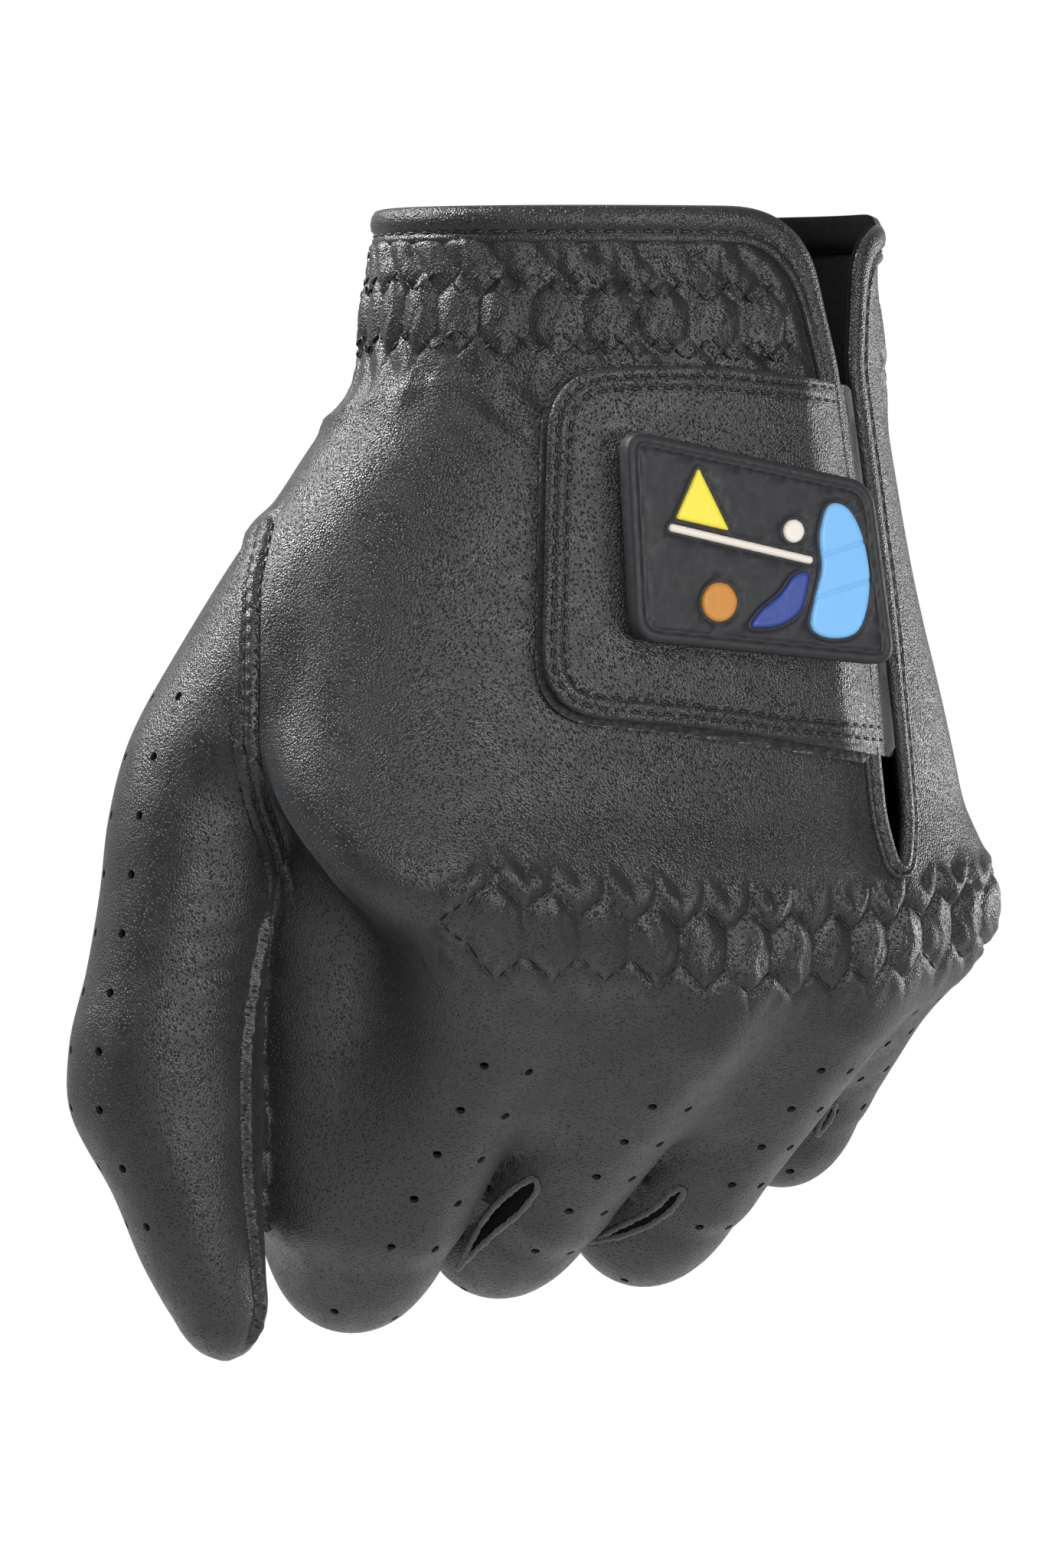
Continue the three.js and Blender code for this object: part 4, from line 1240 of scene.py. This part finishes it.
def tab_layer(name, outline, low, high, material, cell, slot, nodes, rows=(), edge=0.5, fuzz=0.0):
    """One layer of the tab between two heights, with a rounded edge and sunk stitch rows."""
    fine = None
    if rows:
        def fine(m):
            return np.where(inside_by(m, outline) < 4.2, 0.5, 2.0)
    flat, tris = flat_sheet(outline, cell, fine)
    deep = inside_by(flat, past_root(outline))
    _, root = tab_face(flat, high)
    free = ease(root, 0.5, 3)
    drop = edge_drop(deep, edge, edge * 1.6) * free
    for at in rows:
        drop = drop + 0.24 * hump(deep, at, 0.3) * free
    swell = 0.16 * hump(deep, sum(TAB_ROWS) / 2, 0.5) * free if rows else 0
    fuzzy = fuzz * np.sin(flat[:, 0] * 9.7) * np.sin(flat[:, 1] * 11.3 + flat[:, 0] * 3)
    top, _ = tab_face(flat, high - drop + swell + fuzzy)
    bottom, _ = tab_face(flat, np.full(len(flat), low))
    points, faces = thicken(top, bottom, tris[:, ::-1])
    obj = make(name, points, faces, material, rest=np.concatenate([top, bottom]))
    place(obj, "closure_tab" if name != "loop_textile" else "hand", slot, *nodes)


def past_root(outline):
    """The outline carried on past the tab's root, so that its rows run out there."""
    return np.stack([outline[:, 0] + np.where(outline[:, 0] > 26, 9, 0), outline[:, 1]], 1)


def tab_threads(outline):
    """The two rows of stitches round the tab, open at its root."""
    runs = []
    for at in TAB_ROWS:
        line = outline_inset(past_root(outline), at)
        _, root = tab_face(line, 0)
        keep = line[root > 0.8]
        gap = int(np.argmax(np.linalg.norm(np.roll(keep, -1, 0) - keep, axis=1)))
        keep = evenly(np.roll(keep, -gap - 1, 0), 0.4)
        top, _ = tab_face(keep, TAB_TOP - 0.14)
        runs.append(stitched(top, normals(top, hand_distance), 2.2))
    threads("threads_tab", runs, "closure_tab")


def outline_inset(outline, by):
    """The outline moved inward."""
    even = evenly(outline, 0.5, closed=True)
    ahead = np.roll(even, -1, 0) - np.roll(even, 1, 0)
    inward = unit_rows(np.stack([ahead[:, 1], -ahead[:, 0]], 1))
    moved = even + inward * by
    return moved[inside_by(moved, outline) > by - 0.08]


def tab():
    """The closure tab's layers from the outside in, with the loop textile that stays on the hand."""
    outline = rounded(TAB, TAB_ROUND)
    tab_layer("tab_leather_face", outline, TAB_TOP - TAB_THICK, TAB_TOP, LEATHER, 1.0, "leather",
              ["tab_leather"], rows=TAB_ROWS)
    tab_layer("tab_lining", rounded([(x + 0.5, z) for x, z in TAB], TAB_ROUND), TAB_TOP - TAB_THICK - 0.7,
              TAB_TOP - TAB_THICK - 0.1, LINING, 1.5, "lining", ["tab_backing"])
    hook = rounded([(-7, -27), (17, -26.5), (17, -63), (-7, -62)], [5, 2, 2, 5])
    tab_layer("hook_tape_face", hook, 1.7, 1.9, HOOK, 1.5, "hook_tape", ["hook_patch"], edge=0.1)
    loop = rounded([(x - 0.9 if x < 0 else x - 3, z - (0.8 if z < -50 else -0.2)) for x, z in TAB],
                   TAB_ROUND)
    tab_layer("loop_textile", loop, 0.1, 1.75, LOOP, 1.0, "loop_textile", ["loop_patch"],
              edge=0.4, fuzz=0.12)
    tab_threads(outline)


def on_badge(flat, h):
    """Points of the badge's flat drawing raised by h and set on the tab."""
    c, s = math.cos(BADGE_TURN), math.sin(BADGE_TURN)
    u, v = flat[:, 0], flat[:, 1]
    return BADGE_AT + np.stack([u * c + h * s, u * s - h * c, v], 1)


def badge():
    """A moulded rubber badge: plain border, sunk line, flat field and coloured inlays in sunk outlines."""
    outline = rounded(BADGE, [3.4] * 4)
    shapes = {}
    for name, (colour, points) in INLAYS.items():
        cornered = len(points) < 5
        shapes[name] = (colour, rounded(points, [0.5] * len(points)) if cornered else smooth_loop(points))

    def nearest(flat):
        return np.max([inside_by(flat, shape) for _, shape in shapes.values()], axis=0)

    def fine(m):
        ring = np.abs(inside_by(m, outline) - 1.45) < 0.8    # round the sunk line
        return np.where(ring | (np.abs(nearest(m) + 0.3) < 0.7) | (inside_by(m, outline) < 0.7), 0.36, 2.0)

    flat, tris = flat_sheet(outline, 1.2, fine)
    deep = inside_by(flat, outline)
    top = BADGE_TOP - edge_drop(deep, 0.45, 0.6)
    top = top - 0.5 * hump(deep, BADGE_LINE, 0.24, 4)
    top = top - 0.4 * hump(nearest(flat), -0.2, 0.36, 4)
    points, faces = thicken(on_badge(flat, top), on_badge(flat, np.zeros(len(flat))), tris[:, ::-1])
    body = make("badge_body", points, faces, RUBBER)
    place(body, "closure_tab", "badge_rubber", "badge_base", "badge_rim")
    for name, (colour, shape) in shapes.items():
        flat, tris = flat_sheet(shape, 0.24)
        deep = inside_by(flat, shape)
        top = INLAY_TOP - edge_drop(deep, 0.35, 0.4)
        if colour == "sky":
            for across in (-4.6, 0.6):
                top = top - 0.22 * hump(flat[:, 1] - across - 0.3 * flat[:, 0] + 3.2, 0, 0.22)
        foot = np.full(len(flat), INLAY_FOOT)
        points, faces = thicken(on_badge(flat, top), on_badge(flat, foot), tris[:, ::-1])
        inlay = make(name + "_inlay", points, faces, INLAY[colour])
        place(inlay, "closure_tab", "inlay_" + {"sun": "yellow"}.get(colour, colour), name)


# ---- between the fingers ----

SLITS = {                                # left and right edge of each slit, as x and z from top to end
    "middle": ([(-11.0, -127.6), (-13.6, -129.2), (-16.2, -131.6),
                (-18.4, -134.6), (-20.0, -137.8), (-21.4, -140.8)],
               [(-11.0, -127.6), (-10.6, -129.4), (-12.9, -132.5),
                (-16.0, -135.2), (-18.8, -137.9), (-21.4, -140.8)]),
    "ring": ([(8.6, -129.4), (7.0, -130.4), (5.0, -132.6),
              (2.2, -134.2), (-0.8, -135.8), (-3.4, -137.4)],
             [(8.6, -129.4), (9.0, -130.2), (7.2, -132.8),
              (4.4, -134.9), (0.6, -136.5), (-3.4, -137.4)]),
    "little": ([(29.4, -118.4), (28.7, -119.2), (28.1, -120.3),
                (27.6, -121.4), (27.3, -122.4), (27.2, -123.2)],
               [(29.4, -118.4), (29.6, -119.4), (29.1, -120.6),
                (28.4, -121.8), (27.8, -122.6), (27.2, -123.2)])}


def fourchettes():
    """The strips of leather that join the fingers' sides, a near-black sheet painted as shadow in each slit
    between them, and the raw edge round it.
    """
    turn = math.radians(FINGER_SEAM)
    for before, g in zip(fingers, fingers[1:]):
        rows = []
        for s in np.arange(CROTCH - 6, before.marks[2] + 2, 1.0):
            sides = []
            for one, sign in ((before, 1), (g, -1)):
                centre, _, up = one.at(s)
                out = one.side * sign / NARROW * math.sin(turn) + up * math.cos(turn)
                sides.append(centre + out * (one.radius(s) - 0.6))
            down = (before.at(s)[2] + g.at(s)[2]) / 2
            middle = (sides[0] + sides[1]) / 2
            dip = 5.0 * ease(s, CROTCH - 6, CROTCH + 4)
            rows.append([sides[0], (sides[0] + middle) / 2 - down * dip * 0.75, middle - down * dip,
                         (sides[1] + middle) / 2 - down * dip * 0.75, sides[1]])
        grid = np.array(rows)
        points = grid.reshape(-1, 3)
        low = points - np.repeat([(before.up + g.up) / 2 * 0.8], len(points), 0)
        solid = thicken(points, low, grid_faces(*grid.shape[:2]))
        pair = f"{before.name}_{g.name}"
        strip = make(f"fourchette_leather_{pair}", *solid, LINING)
        place(strip, "finger_block", "lining", f"fourchette_{pair}")
        # painted shadow: a near-black sheet laid over each slit
        shadow_sheet, rim = slit_shadow_and_seam(*SLITS[g.name])
        shadow_piece = make(f"fourchette_mouth_{g.name}", *shadow_sheet, INSIDE_SHADE)
        seam = make(f"raw_seam_{pair}", *rim, RAW_EDGE)
        place(shadow_piece, "finger_block", "lining")
        place(seam, "finger_block", "leather")


def slit_shadow_and_seam(left, right):
    """A near-black sheet laid on the skin as painted shadow in a slit between two fingers, and the raw edge
    sewn round it.
    """
    steps = np.linspace(0, 1, 40)
    sides = [sampled(steps, np.linspace(0, 1, len(one)), np.array(one)) for one in (left, right)]
    bands = [from_the_back(*(sides[0] * (1 - t) + sides[1] * t).T, lift)
             for t, lift in ((0.05, 0.12), (0.5, 0.1), (0.95, 0.12))]
    grid = np.stack(bands, 1)
    points = grid.reshape(-1, 3)
    shadow_sheet = thicken(points, points + (0, 0.5, 0), grid_faces(*grid.shape[:2]))
    loop = np.concatenate([sides[0][::-1], sides[1][1:]])
    line = evenly(np.stack([loop[:, 0], 0 * loop[:, 0], loop[:, 1]], 1), 0.35)
    for _ in range(3):
        line[1:-1] = (line[:-2] + 2 * line[1:-1] + line[2:]) / 4
    line, up = on_leather(from_the_back(line[:, 0], line[:, 2]), 0.12)
    across = unit_rows(np.cross(up, np.gradient(line, axis=0)))
    turn = np.arange(10) * math.pi / 5
    along = np.arange(len(line))
    grow = (0.85 + 0.12 * np.sin(along * 1.9) + 0.1 * np.sin(along * 0.83 + 1))[:, None, None]
    profile = np.stack([0.46 * np.cos(turn), 0.42 * np.sin(turn)], 1)[None] * grow
    return shadow_sheet, sweep(line, across, up, profile)


def size_label():
    """A blank woven label on the inside of the cuff, at the palm's side."""
    low, high = (np.array(corner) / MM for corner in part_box("size_label"))
    wide, tall = 12, 10                      # points each way
    u, v = np.meshgrid(np.linspace(low[0], high[0], wide), np.linspace(low[2], high[2], tall), indexing="ij")
    p = np.stack([u.ravel(), np.full(u.size, (low[1] + high[1]) / 2), v.ravel()], 1)
    for _ in range(30):
        p[:, 1] -= 0.7 * (skin_distance(p) + SKIN + 0.5)
    label = make("size_label_sheet", *thicken(p, p - (0, 0.35, 0), grid_faces(wide, tall)), LABEL)
    place(label, "hand", "lining", "size_label")


def tucked(node, name, body, material, slot, each=False):
    """A copy of a CAD piece moved inwards to lie under the leather, as a whole or each point by itself."""
    mesh = bpy.data.objects[node].data
    points = np.empty(len(mesh.vertices) * 3)
    mesh.vertices.foreach_get("co", points)
    points = points.reshape(-1, 3) / MM
    mesh.calc_loop_triangles()
    tris = np.empty(len(mesh.loop_triangles) * 3, np.int32)
    mesh.loop_triangles.foreach_get("vertices", tris)
    over = skin_distance(points) + SKIN + 0.3
    shift = np.clip(over, 0, 5)[:, None] if each else np.clip(over.max(), 0, 4)
    piece = make(name, points - normals(points, skin_distance) * shift, tris.reshape(-1, 3), material)
    place(piece, body, slot, node)


def elastics():
    """The elastic bands sewn inside the leather."""
    for node in ("wrist_elastic", "ulnar_elastic", "palm_elastic", "knuckle_elastic"):
        tucked(node, node + "_band", "hand", ELASTIC, "elastic")


def elbows():
    """The gathered leather at each finger's joints, which shows on the palm's side as the finger opens."""
    for g in fingers:
        tucked(g.name + "_elbow", g.name + "_gather", g.name + "_outer", LEATHER, "leather", each=True)
        tucked(g.name + "_tip_elbow", g.name + "_tip_gather", g.name + "_end", LEATHER, "leather", each=True)


# ---- studio ----

FLOOR_REACH = 490.0                      # a round floor under the glove
FLOOR_HEIGHT = -230.0
FLOOR_SIDES = 96
ROOM = (0.16, 0.65)                      # how bright the room is in front of the glove and behind it
SPREAD = 70                              # of each lamp, in degrees
AIM = (-0.01, 0, -0.08)                  # where the lamps point, in metres
LIGHTS = {                               # place and size in metres, watts
    "key": ((0.05, -1.0, 0.26), (0.5, 0.35), 1.35),
    "low_fill": ((0.45, -0.75, -0.13), (0.3, 0.16), 0.8),
    "left_rim": ((-0.80, 0.24, 0.66), (0.24, 0.35), 4.0),
    "right_rim": ((0.85, 0.5, -0.1), (0.2, 0.35), 1.2),
    "top": ((0.25, -0.2, 0.9), (0.5, 0.5), 0.3)}
CAMERA_AWAY = 1100.0                     # from the wrist's axis
VIEW_MIDDLE = (-12.75, -75.6)            # x and z in the middle of the view
VIEW_TALL = 204.8                        # height that the view takes in at the back of the hand
SENSOR = 36


def area_light(name, at, size, power):
    light = bpy.data.lights.new(name, "AREA")
    light.shape = "RECTANGLE"
    light.size, light.size_y = size
    light.energy = power
    light.spread = math.radians(SPREAD)
    obj = bpy.data.objects.new(name, light)
    bpy.context.scene.collection.objects.link(obj)
    obj.location = at
    obj.rotation_euler = (Vector(AIM) - Vector(at)).to_track_quat("-Z", "Y").to_euler()


def soft_room():
    """White behind the glove and a dimmer room in front of it, seen as plain white by the camera."""
    world = bpy.data.worlds.new("studio_world")
    bpy.context.scene.world = world
    world.use_nodes = True
    nodes, links = world.node_tree.nodes, world.node_tree.links
    white = nodes["Background"]
    white.inputs["Color"].default_value = (1, 1, 1, 1)
    white.inputs["Strength"].default_value = 1.03
    room = nodes.new("ShaderNodeBackground")
    way = nodes.new("ShaderNodeTexCoord")
    parts = nodes.new("ShaderNodeSeparateXYZ")
    level = nodes.new("ShaderNodeMapRange")
    level.inputs["From Min"].default_value, level.inputs["From Max"].default_value = -0.6, 0.9
    level.inputs["To Min"].default_value, level.inputs["To Max"].default_value = ROOM
    ray = nodes.new("ShaderNodeLightPath")
    mix = nodes.new("ShaderNodeMixShader")
    links.new(way.outputs["Generated"], parts.inputs[0])
    links.new(parts.outputs["Y"], level.inputs["Value"])
    links.new(level.outputs[0], room.inputs["Strength"])
    links.new(ray.outputs["Is Camera Ray"], mix.inputs[0])
    links.new(room.outputs[0], mix.inputs[1])
    links.new(white.outputs[0], mix.inputs[2])
    links.new(mix.outputs[0], nodes["World Output"].inputs["Surface"])


def studio():
    bpy.context.scene.view_settings.view_transform = "Standard"
    soft_room()
    turn = np.arange(FLOOR_SIDES) * math.pi / (FLOOR_SIDES / 2)
    height = np.full(FLOOR_SIDES, FLOOR_HEIGHT)
    rim = np.stack([FLOOR_REACH * np.cos(turn), FLOOR_REACH * np.sin(turn), height], 1)
    pale = plain("pale_floor", (0.6, 0.6, 0.6), 0.9)
    make("floor", rim, np.arange(FLOOR_SIDES)[None], pale, smooth=False)
    for name, (at, size, power) in LIGHTS.items():
        area_light(name, at, size, power)


def camera():
    data = bpy.data.cameras.new("camera")
    obj = bpy.data.objects.new("camera", data)
    bpy.context.scene.collection.objects.link(obj)
    obj.location = metres((VIEW_MIDDLE[0], -CAMERA_AWAY, VIEW_MIDDLE[1]))
    obj.rotation_euler = (math.radians(90), 0, 0)
    data.sensor_fit = "VERTICAL"
    data.sensor_height = SENSOR
    data.lens = SENSOR * (CAMERA_AWAY - 12) / VIEW_TALL
    data.clip_end = 20
    bpy.context.scene.camera = obj


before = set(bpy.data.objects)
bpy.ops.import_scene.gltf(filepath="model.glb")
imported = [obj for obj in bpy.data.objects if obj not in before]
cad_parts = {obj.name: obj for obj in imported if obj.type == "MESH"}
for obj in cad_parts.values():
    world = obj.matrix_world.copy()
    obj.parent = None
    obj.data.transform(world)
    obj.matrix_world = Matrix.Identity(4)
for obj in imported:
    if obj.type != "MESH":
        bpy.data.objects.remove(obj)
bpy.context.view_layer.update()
edge = glove_skin()
binding_line, binding_up = edge_binding(edge)
threads("threads_binding", [stitched(binding_line, binding_up, 2.5)], None)
threads("threads_back", wrist_zigzags() + knuckle_zigzags() + seam_rows(), None)
tab()
badge()
fourchettes()
elastics()
elbows()
size_label()
studio()
camera()
